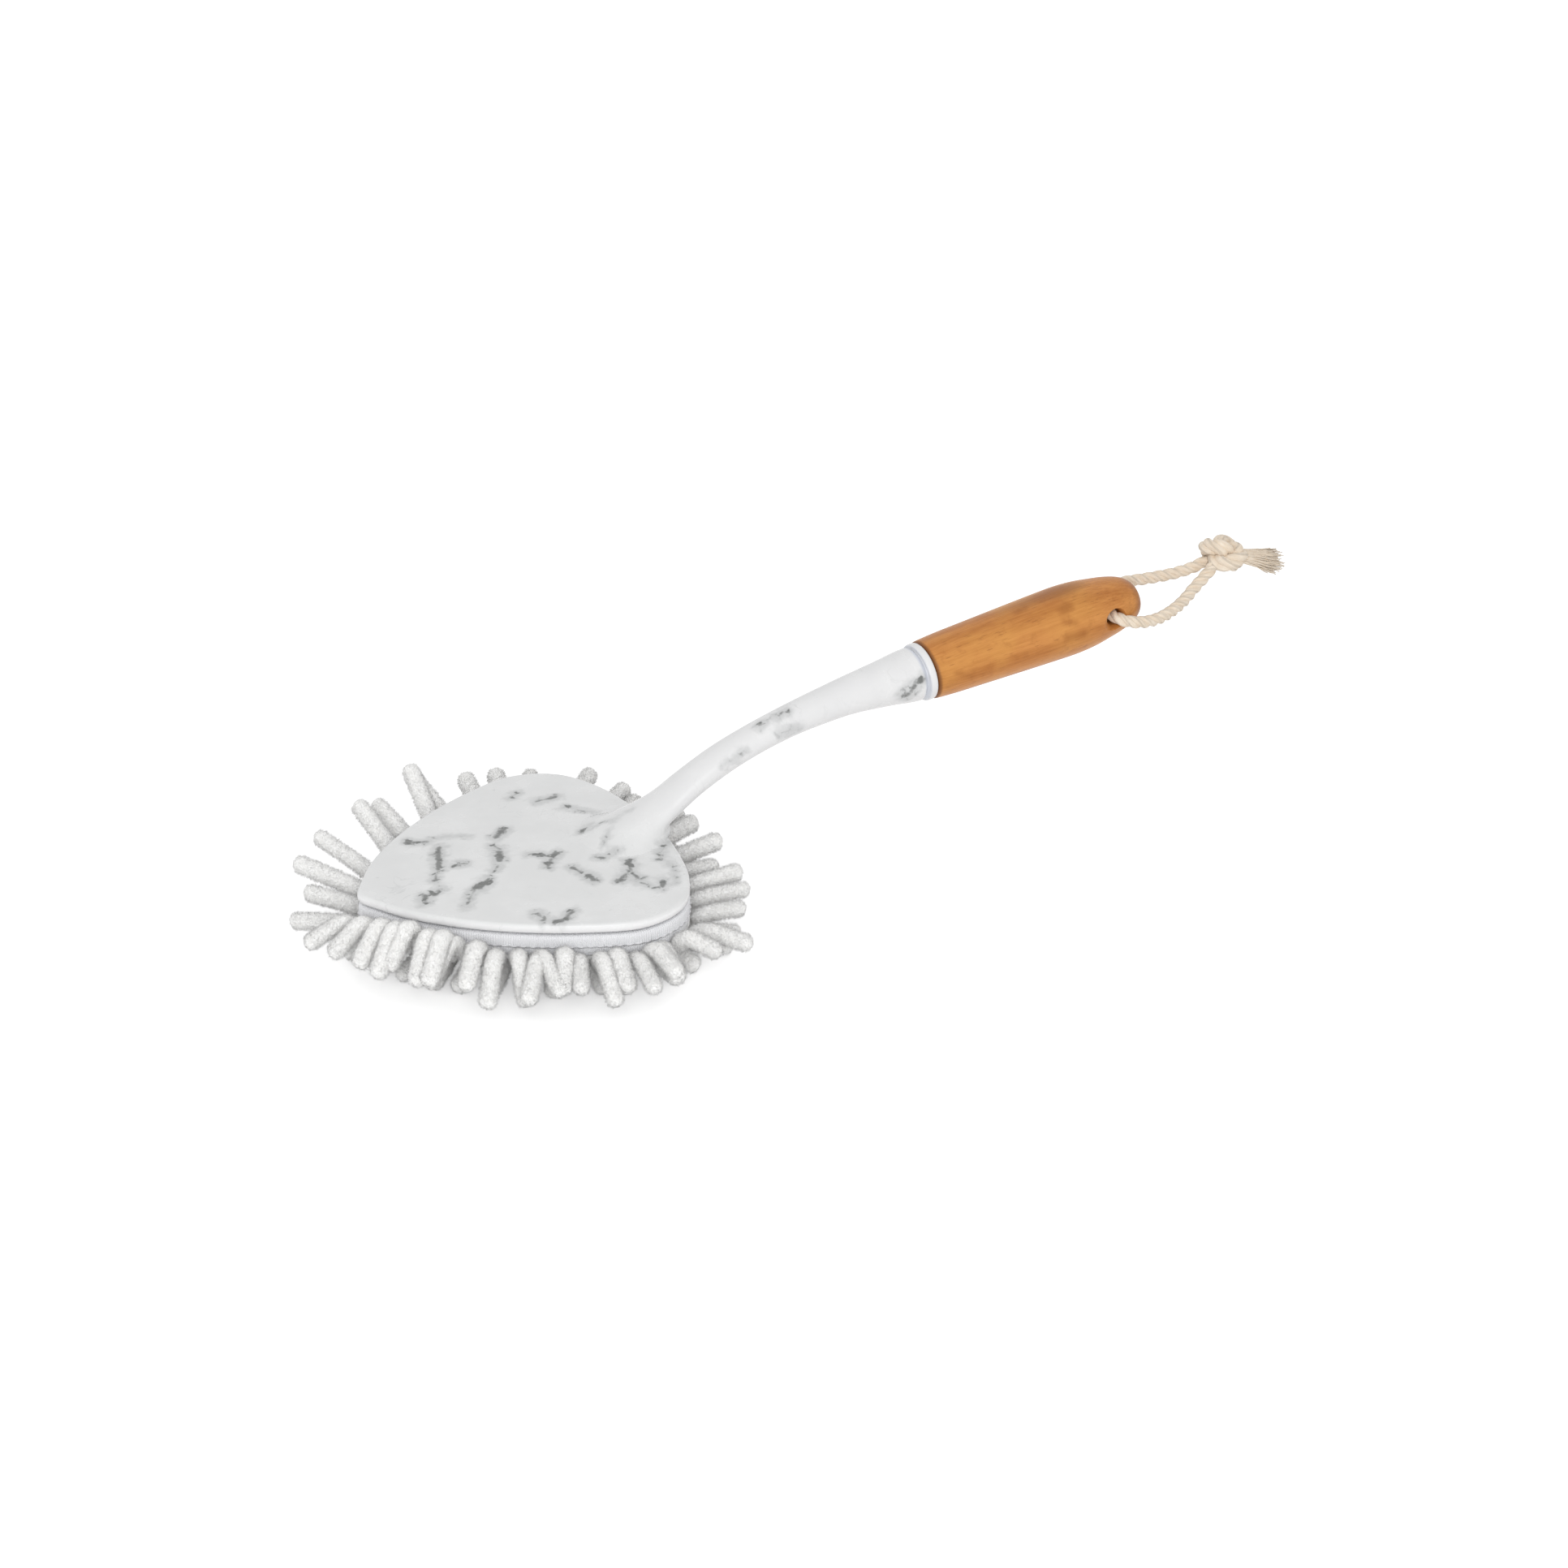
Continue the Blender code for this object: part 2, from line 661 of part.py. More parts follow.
def fringe_pose(outward):
    """The reach's share, the tip's height and the sag on the way of a fringe noodle.

    They stand out clear of the surface, highest on the far side, lowest on the near side
    and longest at the far front corner.
    """
    turn = math.degrees(math.atan2(outward.y, outward.x))
    far_side = math.exp(-(((turn - 110) / 26) ** 2))
    near_side = math.exp(-(((turn + 112) / 45) ** 2))
    corner = math.exp(-(((turn - 150) / 24) ** 2))
    height = FRINGE_TIP_HEIGHT + FRINGE_TURN_UP_HEIGHT * far_side - FRINGE_DROP_DEPTH * near_side
    reach = 1 + FRINGE_CORNER_GROWTH_SHARE * corner - FRINGE_REAR_CUT_SHARE * behind_share(outward)
    return reach, height, 0


def skirt_pose(outward):
    """Skirt noodles end on the surface, and lie long on it behind the head.

    There they bear the grip's weight.
    """
    behind = behind_share(outward)
    return 1 + SKIRT_REAR_GROWTH_SHARE * behind, LYING_TIP_HEIGHT, SKIRT_REAR_SAG_DEPTH * behind


def grow_noodles(tape, lines, helpers):
    """Joins the noodles to their tape and cuts them flat where they stand."""
    noodles = cutter(tubes(f"{tape.name}_noodles", lines, NOODLE_RADIUS, helpers))
    combine(tape, noodles, "UNION")
    combine(tape, bpy.data.objects["standing_surface"], "DIFFERENCE")
    tape.data.shade_smooth()
    tape.data.set_sharp_from_angle(angle=math.radians(62))


def make_ring(name, inset, reach, tape_top, shares, start_share, pose, parts, helpers, surface):
    """A closed ring of tape with noodles that point outwards, posed by their direction."""
    half = NOODLE_TAPE_WIDTH / 2
    bottom = tape_top - NOODLE_TAPE_THICKNESS
    between = start_share + 0.5
    outer = inset_outline(inset - half, RING_COUNT, between)
    inner = inset_outline(inset + half, RING_COUNT, between)
    tape = slab(name, outer, bottom, tape_top, parts, surface)
    middle = slab(f"{name}_middle", inner, bottom - CUT_OVERRUN, tape_top + CUT_OVERRUN, helpers)
    combine(tape, cutter(middle), "DIFFERENCE")
    roots = inset_outline(inset, RING_COUNT, start_share)
    lines = []
    for i, (root, outward) in enumerate(zip(roots, outward_directions(roots))):
        from_middle = min(i + start_share, RING_COUNT - i - start_share)
        reach_share, tip_height, sag = pose(outward)
        own_reach = reach * reach_share * (1 + REACH_WAVER_SHARE * waver(from_middle))
        root_height = tape_top - NOODLE_TAPE_THICKNESS / 2
        lines.append(noodle_line(root, outward, own_reach, root_height, tip_height, sag, shares))
    grow_noodles(tape, lines, helpers)
    return tape


def row_places():
    """(x, half width) of each row of noodles across the pad."""
    inner = inset_outline(ROW_INSET, count=4 * OUTLINE_POINTS)
    front, rear = min(p.x for p in inner), max(p.x for p in inner)
    count = int((rear - front) / ROW_PITCH)
    first = (front + rear - (count - 1) * ROW_PITCH) / 2
    places = []
    for i in range(count):
        x = first + i * ROW_PITCH
        near = [p for p in inner if abs(p.x - x) < ROW_PITCH / 4]
        places.append((x, max(p.y for p in near)))
    return places


def make_rows(parts, helpers, surface):
    """Straight rows of noodles across the middle of the pad, a little spread at their tips."""
    made = []
    root_height = ROW_TAPE_TOP - NOODLE_TAPE_THICKNESS / 2
    for i, (x, half_width) in enumerate(row_places()):
        count = 1 + 2 * int(half_width / ROW_NOODLE_PITCH)
        end = (count - 1) / 2 * ROW_NOODLE_PITCH + ROW_TAPE_WIDTH / 2
        tape = box(
            f"noodle_row_{i + 1:02d}",
            (x - ROW_TAPE_WIDTH / 2, -end, ROW_TAPE_TOP - NOODLE_TAPE_THICKNESS),
            (x + ROW_TAPE_WIDTH / 2, end, ROW_TAPE_TOP),
            parts,
            surface,
        )
        lines = []
        for k in range(count):
            root = Vector((x, (k - (count - 1) / 2) * ROW_NOODLE_PITCH))
            spread = (root - OUTLINE_CENTRE) * ROW_SPREAD_SHARE
            outward, reach = spread.normalized(), spread.length
            lines.append(noodle_line(root, outward, reach, root_height, -NOODLE_SINK, 0, ROW_SHARES))
        grow_noodles(tape, lines, helpers)
        made.append(tape)
    return made


def tail_direction():
    return Vector((math.cos(TAIL_DROP), 0, -math.sin(TAIL_DROP)))


def rope_line(widening=0.0):
    centre = hole_centre()
    route = [centre + Vector(p) for p in ROPE_ROUTE]
    share = (ROPE_RADIUS + widening) / ROPE_RADIUS
    return [(p, share) for p in evenly_spaced(smooth_points(route, per_span=8), ROPE_POINTS)]


def tail_lines():
    """The frayed yarns at the end of the rope, spreading as they leave the knot."""
    start = hole_centre() + Vector(TAIL_START)
    direction = tail_direction()
    side = Vector((0, 1, 0))
    up = direction.cross(side)
    lines = []
    for i in range(YARN_COUNT):
        around = math.tau * (i - 1) / (YARN_COUNT - 1)
        out = 0.0 if i == 0 else 1.0
        length = TAIL_LENGTH * (1 + REACH_WAVER_SHARE * waver(i, 3))
        line = []
        for share in (0.0, 0.35, 0.7, 1.0):
            spread = out * (TAIL_ROOT_RADIUS + (TAIL_END_RADIUS - TAIL_ROOT_RADIUS) * share**1.5)
            place = start + direction * (length * share)
            place += (side * math.cos(around) + up * math.sin(around)) * spread
            line.append((place, 1 - YARN_TAPER_SHARE * share))
        lines.append(line)
    return lines


def make_rope(parts, helpers, surface):
    """The loop through the grip, the overhand knot and the frayed end."""
    loop = tubes("rope_loop", [rope_line()], ROPE_RADIUS, parts, surface, resolution=2)
    loop.data.shade_smooth()

    # An overhand knot's own turns are those of the (2, 3) torus knot.
    centre = hole_centre() + Vector(KNOT_PLACE)
    turns = []
    for i in range(KNOT_POINTS):
        t = math.tau * i / KNOT_POINTS
        ring = KNOT_RING_RADIUS + KNOT_TWIST_RADIUS * math.cos(3 * t)
        place = Vector((ring * math.cos(2 * t), ring * math.sin(2 * t), KNOT_TWIST_RADIUS * math.sin(3 * t)))
        turns.append((place, 1.0))
    knot = tubes("rope_knot", [turns], KNOT_ROPE_RADIUS, parts, surface, resolution=2, cyclic=True)
    tilt = Matrix.Rotation(math.pi / 2 * (1 - KNOT_LIE_SHARE), 4, "X")
    knot.data.transform(Matrix.Translation(centre) @ Matrix.Rotation(TAIL_DROP, 4, "Y") @ tilt)
    remesh = knot.modifiers.new("One skin", "REMESH")
    remesh.mode = "VOXEL"
    remesh.voxel_size = KNOT_VOXEL_SIZE
    fewer = knot.modifiers.new("Fewer faces", "DECIMATE")
    fewer.ratio = KNOT_KEPT_FACES_SHARE
    for name, line, radius in (
        ("rope_socket", rope_line(FIT_GAP), ROPE_RADIUS),
        ("tail_socket", tail_neck(), TAIL_ROOT_RADIUS),
    ):
        combine(knot, cutter(tubes(name, [line], radius, helpers, resolution=3)), "DIFFERENCE")
    knot.data.shade_smooth()

    tail = tubes("rope_frayed_end", [tail_lines()[0]], YARN_RADIUS, parts, surface, resolution=1)
    outer = tubes("outer_yarns", tail_lines()[1:], YARN_RADIUS, helpers, resolution=1)
    combine(tail, cutter(outer), "UNION")
    tail.data.shade_smooth()
    return [loop, knot, tail]


def tail_neck():
    """A plug round the yarns' start, which the knot leaves room for."""
    start = hole_centre() + Vector(TAIL_START)
    direction = tail_direction()
    width = TAIL_ROOT_RADIUS + YARN_RADIUS + 2 * FIT_GAP
    line = []
    for share in (-0.06, 0.15, 0.35, 0.7):
        spread = (TAIL_END_RADIUS - TAIL_ROOT_RADIUS) * max(share, 0) ** 1.5
        line.append((start + direction * (TAIL_LENGTH * share), (width + spread) / TAIL_ROOT_RADIUS))
    return line


def parent_to(empty, objects):
    """Hangs objects on an empty and leaves them where they are."""
    bpy.context.view_layer.update()
    for obj in objects:
        obj.parent = empty
        obj.matrix_parent_inverse = empty.matrix_world.inverted()


def empty_at(name, place, group, parent=None):
    made = bpy.data.objects.new(name, None)
    made.empty_display_size = PLATE_THICKNESS
    made.location = place
    group.objects.link(made)
    if parent:
        parent_to(parent, [made])
    return made


def put_on_origin(root, objects):
    """Moves the duster so that the middle of its footprint, without the rope, is the origin."""
    bpy.context.view_layer.update()
    graph = bpy.context.evaluated_depsgraph_get()
    corners = []
    for obj in objects:
        evaluated = obj.evaluated_get(graph)
        corners += [evaluated.matrix_world @ Vector(corner) for corner in evaluated.bound_box]
    low = [min(c[axis] for c in corners) for axis in range(3)]
    high = [max(c[axis] for c in corners) for axis in range(3)]
    root.location = (-(low[0] + high[0]) / 2, -(low[1] + high[1]) / 2, -low[2])
    bpy.context.view_layer.update()


def main():
    clear_scene()
    parts = collection("hand_duster")
    helpers = collection("cutters", hidden=True)
    marble = material("marble_print_plastic", (0.80, 0.81, 0.82), 0.32)
    bamboo = material("varnished_bamboo", (0.60, 0.31, 0.10), 0.42)
    chenille = material("white_chenille", (0.86, 0.86, 0.84), 0.95)
    cloth = material("white_cloth", (0.82, 0.82, 0.82), 0.9)
    foam = material("white_foam", (0.78, 0.78, 0.76), 0.95)
    band = material("pale_band", (0.74, 0.75, 0.84), 0.7)
    hook = material("white_hook_tape", (0.80, 0.80, 0.79), 0.6)
    cotton = material("cream_cotton", (0.72, 0.68, 0.60), 0.9)

    box(
        "standing_surface",
        (-2 * PLATE_LENGTH, -PLATE_WIDTH, -PLATE_TOP_HEIGHT),
        (PLATE_LENGTH, PLATE_WIDTH, 0),
        helpers,
    )
    cutter(bpy.data.objects["standing_surface"])

    head = [make_head(parts, helpers, marble), *make_hook_tapes(parts, hook)]
    head.append(make_grip(parts, helpers, bamboo))
    pad = make_pad_layers(parts, helpers, cloth, foam, band)
    noodle_rings = (
        ("noodle_fringe", FRINGE_INSET, FRINGE_LENGTH, FRINGE_TAPE_TOP, FRINGE_SHARES, 0, fringe_pose),
        ("noodle_skirt", SKIRT_INSET, SKIRT_LENGTH, ROW_TAPE_TOP, SKIRT_SHARES, 0.5, skirt_pose),
    )
    pad += [make_ring(*ring, parts, helpers, chenille) for ring in noodle_rings]
    pad += make_rows(parts, helpers, chenille)
    rope = make_rope(parts, helpers, cotton)

    duster = empty_at("duster", (0, 0, 0), parts)
    lift = empty_at("pad_release_axis", (OUTLINE_CENTRE.x, 0, PLATE_BOTTOM), parts, duster)
    swing = empty_at("hang_loop_axis", hole_centre(), parts, lift)
    parent_to(duster, pad)
    parent_to(duster, [obj for obj in helpers.objects])
    parent_to(lift, head)
    parent_to(swing, rope)
    put_on_origin(duster, head + pad)
    print("origin moved by", [round(v, 6) for v in duster.location])
    print("hole centre", [round(v, 6) for v in swing.matrix_world.translation])


main()
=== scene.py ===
# %% [markdown]
# # A hand duster, piece by piece
#
# The duster lies on its white chenille noodles. Its head is a rounded triangle of glossy
# plastic with a printed marble pattern, drawn out into a long curved neck. A bamboo grip
# sits on the neck's end, and a cotton rope runs through a cross hole in the grip. Under
# the head, a soft pad carries two rings and several rows of noodles.
#
# The CAD model gives every place and size. Here each soft solid is replaced by a surface
# with the real one's shape, and every surface gets its finish from shader nodes.

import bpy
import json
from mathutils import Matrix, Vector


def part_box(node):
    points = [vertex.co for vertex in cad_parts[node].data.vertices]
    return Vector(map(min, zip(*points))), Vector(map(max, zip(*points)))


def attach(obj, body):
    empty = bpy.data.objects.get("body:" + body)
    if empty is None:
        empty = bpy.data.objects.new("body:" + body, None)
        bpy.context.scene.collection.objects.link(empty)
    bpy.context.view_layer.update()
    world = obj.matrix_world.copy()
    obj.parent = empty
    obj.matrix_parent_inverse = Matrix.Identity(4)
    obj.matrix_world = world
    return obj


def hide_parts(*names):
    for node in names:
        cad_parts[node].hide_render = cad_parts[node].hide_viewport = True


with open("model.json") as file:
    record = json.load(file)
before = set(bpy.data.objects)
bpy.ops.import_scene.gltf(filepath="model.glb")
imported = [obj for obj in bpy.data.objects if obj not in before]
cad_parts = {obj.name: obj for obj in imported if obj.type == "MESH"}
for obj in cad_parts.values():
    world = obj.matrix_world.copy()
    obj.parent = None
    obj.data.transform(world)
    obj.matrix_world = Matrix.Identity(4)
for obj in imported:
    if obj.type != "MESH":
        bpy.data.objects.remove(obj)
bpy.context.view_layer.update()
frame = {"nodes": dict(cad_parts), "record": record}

# %% Tools
import json
import math

import bpy
import numpy as np

scene = bpy.context.scene
scene.view_settings.view_transform = "Standard"
chance = np.random.default_rng(11)
MM = 0.001
TAU = 2 * np.pi


def put(name, data):
    """An object in the scene that shows a mesh, a camera or a lamp."""
    made = bpy.data.objects.new(name, data)
    scene.collection.objects.link(made)
    return made


# %% [markdown]
# ## Sizes
#
# What the frame knows is read from it: the pad's band has the head's own outline, the
# hook tape lies just under the plate, and the loop's hinge is the middle of the cross
# hole. What it doesn't hold as a box, such as the curve of the neck, is repeated here
# from the CAD model's driving dimensions.

# %% Sizes from the frame
GAP = 0.3 * MM
band_low, band_high = (np.array(corner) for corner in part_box("pad_edge_band"))
tape_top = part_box("hook_tape_centre")[1][2]
joints = {joint["name"]: joint for joint in frame["record"]["behaviour"]["joints"]}
hole = np.array(joints["hang_loop_swing"]["pos_m"])
head_length, head_width = (band_high - band_low)[:2]
rear = band_high[0]
middle = (band_low[1] + band_high[1]) / 2
PLATE_THICKNESS = 3.6 * MM
plate_bottom = tape_top + GAP
plate_top = plate_bottom + PLATE_THICKNESS
print("plate top above the ground, mm:", round(plate_top / MM, 2))

# %% [markdown]
# ## The camera
#
# The photograph was taken from the near side and a little ahead of the head's tip, from
# 26.5 degrees above the ground. A long lens keeps the far end of the grip nearly as large
# as the head. The camera is set here, before any piece, and the same numbers let the
# script find the point of the object that lies behind a pixel of the photograph.

# %% Camera
IMAGE_SIZE = 1932
AZIMUTH = math.radians(-27)
ELEVATION = math.radians(26.5)
DISTANCE = 1.1
PIXELS_PER_METRE = 3200
LENS_SENSOR = 36
FOCAL_PIXELS = PIXELS_PER_METRE * DISTANCE
AIM_BEHIND_HEAD = 57.64 * MM
AIM_ASIDE = 9.22 * MM
aim = np.array([rear + AIM_BEHIND_HEAD, middle + AIM_ASIDE, plate_top])
level_part = math.cos(ELEVATION)
backwards = np.array(
    [math.sin(AZIMUTH) * level_part, -math.cos(AZIMUTH) * level_part, math.sin(ELEVATION)]
)
rightwards = np.array([math.cos(AZIMUTH), math.sin(AZIMUTH), 0])
upwards = np.cross(backwards, rightwards)
eye = aim + backwards * DISTANCE

camera_data = bpy.data.cameras.new("camera")
camera_data.sensor_width = LENS_SENSOR
camera_data.lens = LENS_SENSOR * FOCAL_PIXELS / IMAGE_SIZE
camera = put("camera", camera_data)
camera.location = eye
camera.rotation_euler = (math.pi / 2 - ELEVATION, 0, AZIMUTH)
scene.camera = camera
print("lens, mm:", round(camera_data.lens, 2))

# %% From the photograph on to the object


def behind_pixels(pixels, height):
    """The points at one height that lie behind pixels of the photograph.

    A pixel's ray leaves the eye along (x right + y up) / (f) - back, where x and y count
    from the picture's middle and f is the focal length in pixels. It is followed until
    its z is the height.
    """
    pixels = np.asarray(pixels, float)
    x = (pixels[:, :1] - IMAGE_SIZE / 2) / FOCAL_PIXELS
    y = (IMAGE_SIZE / 2 - pixels[:, 1:]) / FOCAL_PIXELS
    rays = x * rightwards + y * upwards - backwards
    return eye + rays * ((height - eye[2]) / rays[:, 2:])


print("middle pixel lies on", behind_pixels([(966, 966)], plate_top).round(4))

# %% [markdown]
# ## Surfaces from numpy
#
# Almost every piece is a grid: one parameter runs along it and one runs round it. A
# smooth line comes from a few chosen knots, a sweep carries a ring along the line, and
# one function turns the grid into a closed mesh. All vertices of a piece, even of
# forty noodles, are worked out together as arrays.

# %% Smooth lines
STEPS_BETWEEN_KNOTS = 24


def run_of(line):
    """The distance along a line, or along each of several, at every point."""
    steps = np.linalg.norm(np.diff(line, axis=-2), axis=-1)
    return np.concatenate([np.zeros_like(steps[..., :1]), np.cumsum(steps, axis=-1)], axis=-1)


def smooth_line(knots, count, closed=False, space=3):
    """Evenly spaced points on the Catmull-Rom curve through the knots.

    Between knots b and c, with neighbours a and d, the curve at t from 0 to 1 is
    b + ((c - a) t + (2a - 5b + 4c - d) t^2 + (3b - a - 3c + d) t^3) / 2.
    Distance is measured in the first columns, as many as space says. The others, such as
    a radius, are carried along.
    """
    knots = np.asarray(knots, float)
    before, after = 2 * knots[:1] - knots[1:2], 2 * knots[-1:] - knots[-2:-1]
    if closed:
        before, after = knots[-1:], knots[:2]
    padded = np.vstack([before, knots, after])
    a, b, c, d = (padded[i : len(padded) - 3 + i][:, None] for i in range(4))
    t = np.linspace(0, 1, STEPS_BETWEEN_KNOTS, endpoint=False)[None, :, None]
    bend, twist = 2 * a - 5 * b + 4 * c - d, 3 * b - a - 3 * c + d
    curve = b + ((c - a) * t + bend * t**2 + twist * t**3) / 2
    curve = np.vstack([curve.reshape(-1, knots.shape[1]), knots[:1] if closed else knots[-1:]])
    along = run_of(curve[:, :space])
    wanted = np.linspace(0, along[-1], count, endpoint=not closed)
    return np.stack([np.interp(wanted, along, column) for column in curve.T], axis=1)


def unit(vectors):
    """The vectors with length 1."""
    return vectors / np.linalg.norm(vectors, axis=-1, keepdims=True)


def length_of(line):
    """The length of a line through its points."""
    return float(np.linalg.norm(np.diff(line, axis=0), axis=1).sum())


# %% Rings carried along a line


def square_to(direction, across):
    """Two directions square to this one. The first is as near to across as it can be."""
    side = unit(across - direction * (across * direction).sum(-1, keepdims=True))
    return side, np.cross(direction, side)


def sweep(paths, across, radii, sides):
    """Rings of points round paths, as an array (paths, stations, sides, 3).

    With T the path's direction and S the part of across that is square to T, point j of
    a ring is path + radius (cos(a) S + sin(a) T x S), where a = 2 pi j / sides.
    """
    side, lift = square_to(unit(np.gradient(paths, axis=-2)), across)
    angle = (TAU * np.arange(sides) / sides)[:, None]
    ring = np.cos(angle) * side[..., None, :] + np.sin(angle) * lift[..., None, :]
    return paths[..., None, :] + np.broadcast_to(radii, ring.shape[:-1])[..., None] * ring


def tube_faces(tubes, stations, sides, closed=False):
    """Corner numbers of the quads of several tubes whose points lie one after another."""
    rows = np.arange(stations if closed else stations - 1)
    k, i, j = np.meshgrid(np.arange(tubes), rows, np.arange(sides), indexing="ij")
    start = k * stations * sides
    above = (i + 1) % stations
    beside = (j + 1) % sides
    here, there = start + i * sides, start + above * sides
    return np.stack([here + j, here + beside, there + beside, there + j], axis=-1).reshape(-1, 4)


def cap_faces(tubes, stations, sides):
    """Triangles that close each tube's ends on two pole points, which follow all rings."""
    k, j = np.meshgrid(np.arange(tubes), np.arange(sides), indexing="ij")
    beside = (j + 1) % sides
    start = k * stations * sides
    last = start + (stations - 1) * sides
    poles = tubes * stations * sides + 2 * k
    first = np.stack([poles, start + beside, start + j], axis=-1)
    end = np.stack([poles + 1, last + j, last + beside], axis=-1)
    return np.concatenate([first.reshape(-1, 3), end.reshape(-1, 3)])


# %% From arrays to a piece


def new_piece(name, points, faces, material, slot):
    """A mesh object at the origin from an array of points and a list of face arrays."""
    mesh = bpy.data.meshes.new(name)
    listed = [face for group in faces for face in group.tolist()]
    mesh.from_pydata(points.reshape(-1, 3).tolist(), [], listed)
    mesh.materials.append(material)
    mesh.polygons.foreach_set("use_smooth", np.ones(len(mesh.polygons), bool))
    mesh.update()
    piece = put(name, mesh)
    return piece


def closed_tubes(rings):
    """(points, faces) of one or more tubes, with their ends closed on pole points."""
    tubes, stations, sides = rings.shape[:3]
    poles = rings[:, [0, -1]].mean(axis=2).reshape(-1, 3)
    points = np.vstack([rings.reshape(-1, 3), poles])
    return points, [tube_faces(tubes, stations, sides), cap_faces(tubes, stations, sides)]


def tube_piece(name, rings, material, slot):
    """A piece from the rings of one or more tubes."""
    return new_piece(name, *closed_tubes(rings), material, slot)


def join_arrays(parts):
    """One (points, faces) from several, each face array counted on from the points before."""
    points, faces, before = [], [], 0
    for some_points, some_faces in parts:
        points.append(some_points.reshape(-1, 3))
        faces += [face + before for face in some_faces]
        before += len(points[-1])
    return np.vstack(points), faces


def stand_for(piece, node, body):
    """The piece takes the place of a CAD node and moves with a body."""
    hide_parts(node)
    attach(piece, body)


def add_number(piece, name, values):
    """A named number on every point of a piece, which its material can read."""
    layer = piece.data.attributes.new(name, "FLOAT", "POINT")
    layer.data.foreach_set("value", np.asarray(values, np.float32).ravel())


def add_map(piece, along, around):
    """A UV map from two numbers on every point, in metres."""
    corners = np.empty(len(piece.data.loops), np.int64)
    piece.data.loops.foreach_get("vertex_index", corners)
    layer = piece.data.uv_layers.new(name="surface")
    places = np.stack([along.ravel()[corners], around.ravel()[corners]], axis=1)
    layer.uv.foreach_set("vector", places.ravel())


# %% [markdown]
# ## Shader maths
#
# A shader node holds a number or a colour in a socket. The first class below wraps a
# socket so that ordinary arithmetic adds the Math nodes, and a finish can be written as
# a formula. The second adds any node to a tree, and the third is a whole material.

# %% A socket that can be calculated with


def maths(operation, turned_round=False):
    """A method of Amount that adds one Math node."""

    def method(self, *others):
        values = (*others, self) if turned_round else (self, *others)
        return self.tree.node("ShaderNodeMath", {"operation": operation}, *values)

    return method


class Amount:
    """A number in a material. Arithmetic on it adds Math nodes."""

    def __init__(self, tree, socket):
        self.tree = tree
        self.socket = socket

    __add__ = __radd__ = maths("ADD")
    __mul__ = __rmul__ = maths("MULTIPLY")
    __sub__ = maths("SUBTRACT")
    __rsub__ = maths("SUBTRACT", turned_round=True)
    least, most = maths("MINIMUM"), maths("MAXIMUM")
    size, wave = maths("ABSOLUTE"), maths("SINE")

    def step(self, start, end):
        """0 before start, 1 after end and smooth between them."""
        settings = {"interpolation_type": "SMOOTHSTEP"}
        low, high, first, last = (start, end, 0, 1) if start < end else (end, start, 1, 0)
        return self.tree.node("ShaderNodeMapRange", settings, self, low, high, first, last)


# %% A tree of nodes, and a material that grows from formulas


class Tree:
    """A node tree, and the calls that add nodes to it."""

    def __init__(self, node_tree):
        self.node_tree = node_tree

    def node(self, kind, settings, *values, output=0, **named):
        """Adds a node, sets it up, and fills its sockets in order or by name."""
        made = self.node_tree.nodes.new(kind)
        for label, value in settings.items():
            setattr(made, label, value)
        for place, value in [*enumerate(values), *named.items()]:
            self.fill(made.inputs[place], value)
        return Amount(self, made.outputs[output])

    def fill(self, socket, value):
        if isinstance(value, Amount):
            self.node_tree.links.new(value.socket, socket)
        elif socket.type == "RGBA" and len(value) == 3:
            socket.default_value = (*value, 1)
        else:
            socket.default_value = value

    def scaled(self, vector, scale):
        return self.node("ShaderNodeVectorMath", {"operation": "MULTIPLY"}, vector, scale)

    def place(self, centre=(0, 0, 0), turn=(0, 0, 0)):
        """Object coordinates, counted from centre and then turned."""
        seen = self.node("ShaderNodeTexCoord", {}, output="Object")
        settings = {"vector_type": "TEXTURE"}
        return self.node("ShaderNodeMapping", settings, seen, Location=centre, Rotation=turn)

    def on_surface(self):
        """The piece's own map, in metres."""
        return self.node("ShaderNodeUVMap", {"uv_map": "surface"})

    def number(self, name):
        return self.node("ShaderNodeAttribute", {"attribute_name": name}, output="Fac")

    def noise(self, vector, scale, detail=2.0, rough=0.5, warp=0.0):
        sockets = {"Scale": scale, "Detail": detail, "Roughness": rough, "Distortion": warp}
        return self.node("ShaderNodeTexNoise", {}, Vector=vector, **sockets)

    def cells(self, vector, scale, feature="F1"):
        return self.node("ShaderNodeTexVoronoi", {"feature": feature}, Vector=vector, Scale=scale)

    def mix(self, factor, first, second):
        """A colour between two."""
        settings = {"data_type": "RGBA", "blend_type": "MIX"}
        made = self.node("ShaderNodeMix", settings, factor, output=2)
        for socket, colour in zip(made.socket.node.inputs[6:8], (first, second)):
            self.fill(socket, colour)
        return made

    def parts(self, vector):
        """The x, y and z of a vector."""
        split = self.node("ShaderNodeSeparateXYZ", {}, vector)
        return [Amount(self, socket) for socket in split.socket.node.outputs]

    def plainly_seen(self):
        """1 for rays from the camera, a reflection or a refraction, and 0 for other light."""
        outputs = self.node("ShaderNodeLightPath", {}).socket.node.outputs
        kinds = ("Camera", "Glossy", "Transmission")
        camera, glossy, through = (Amount(self, outputs[f"Is {kind} Ray"]) for kind in kinds)
        return camera.most(glossy).most(through)


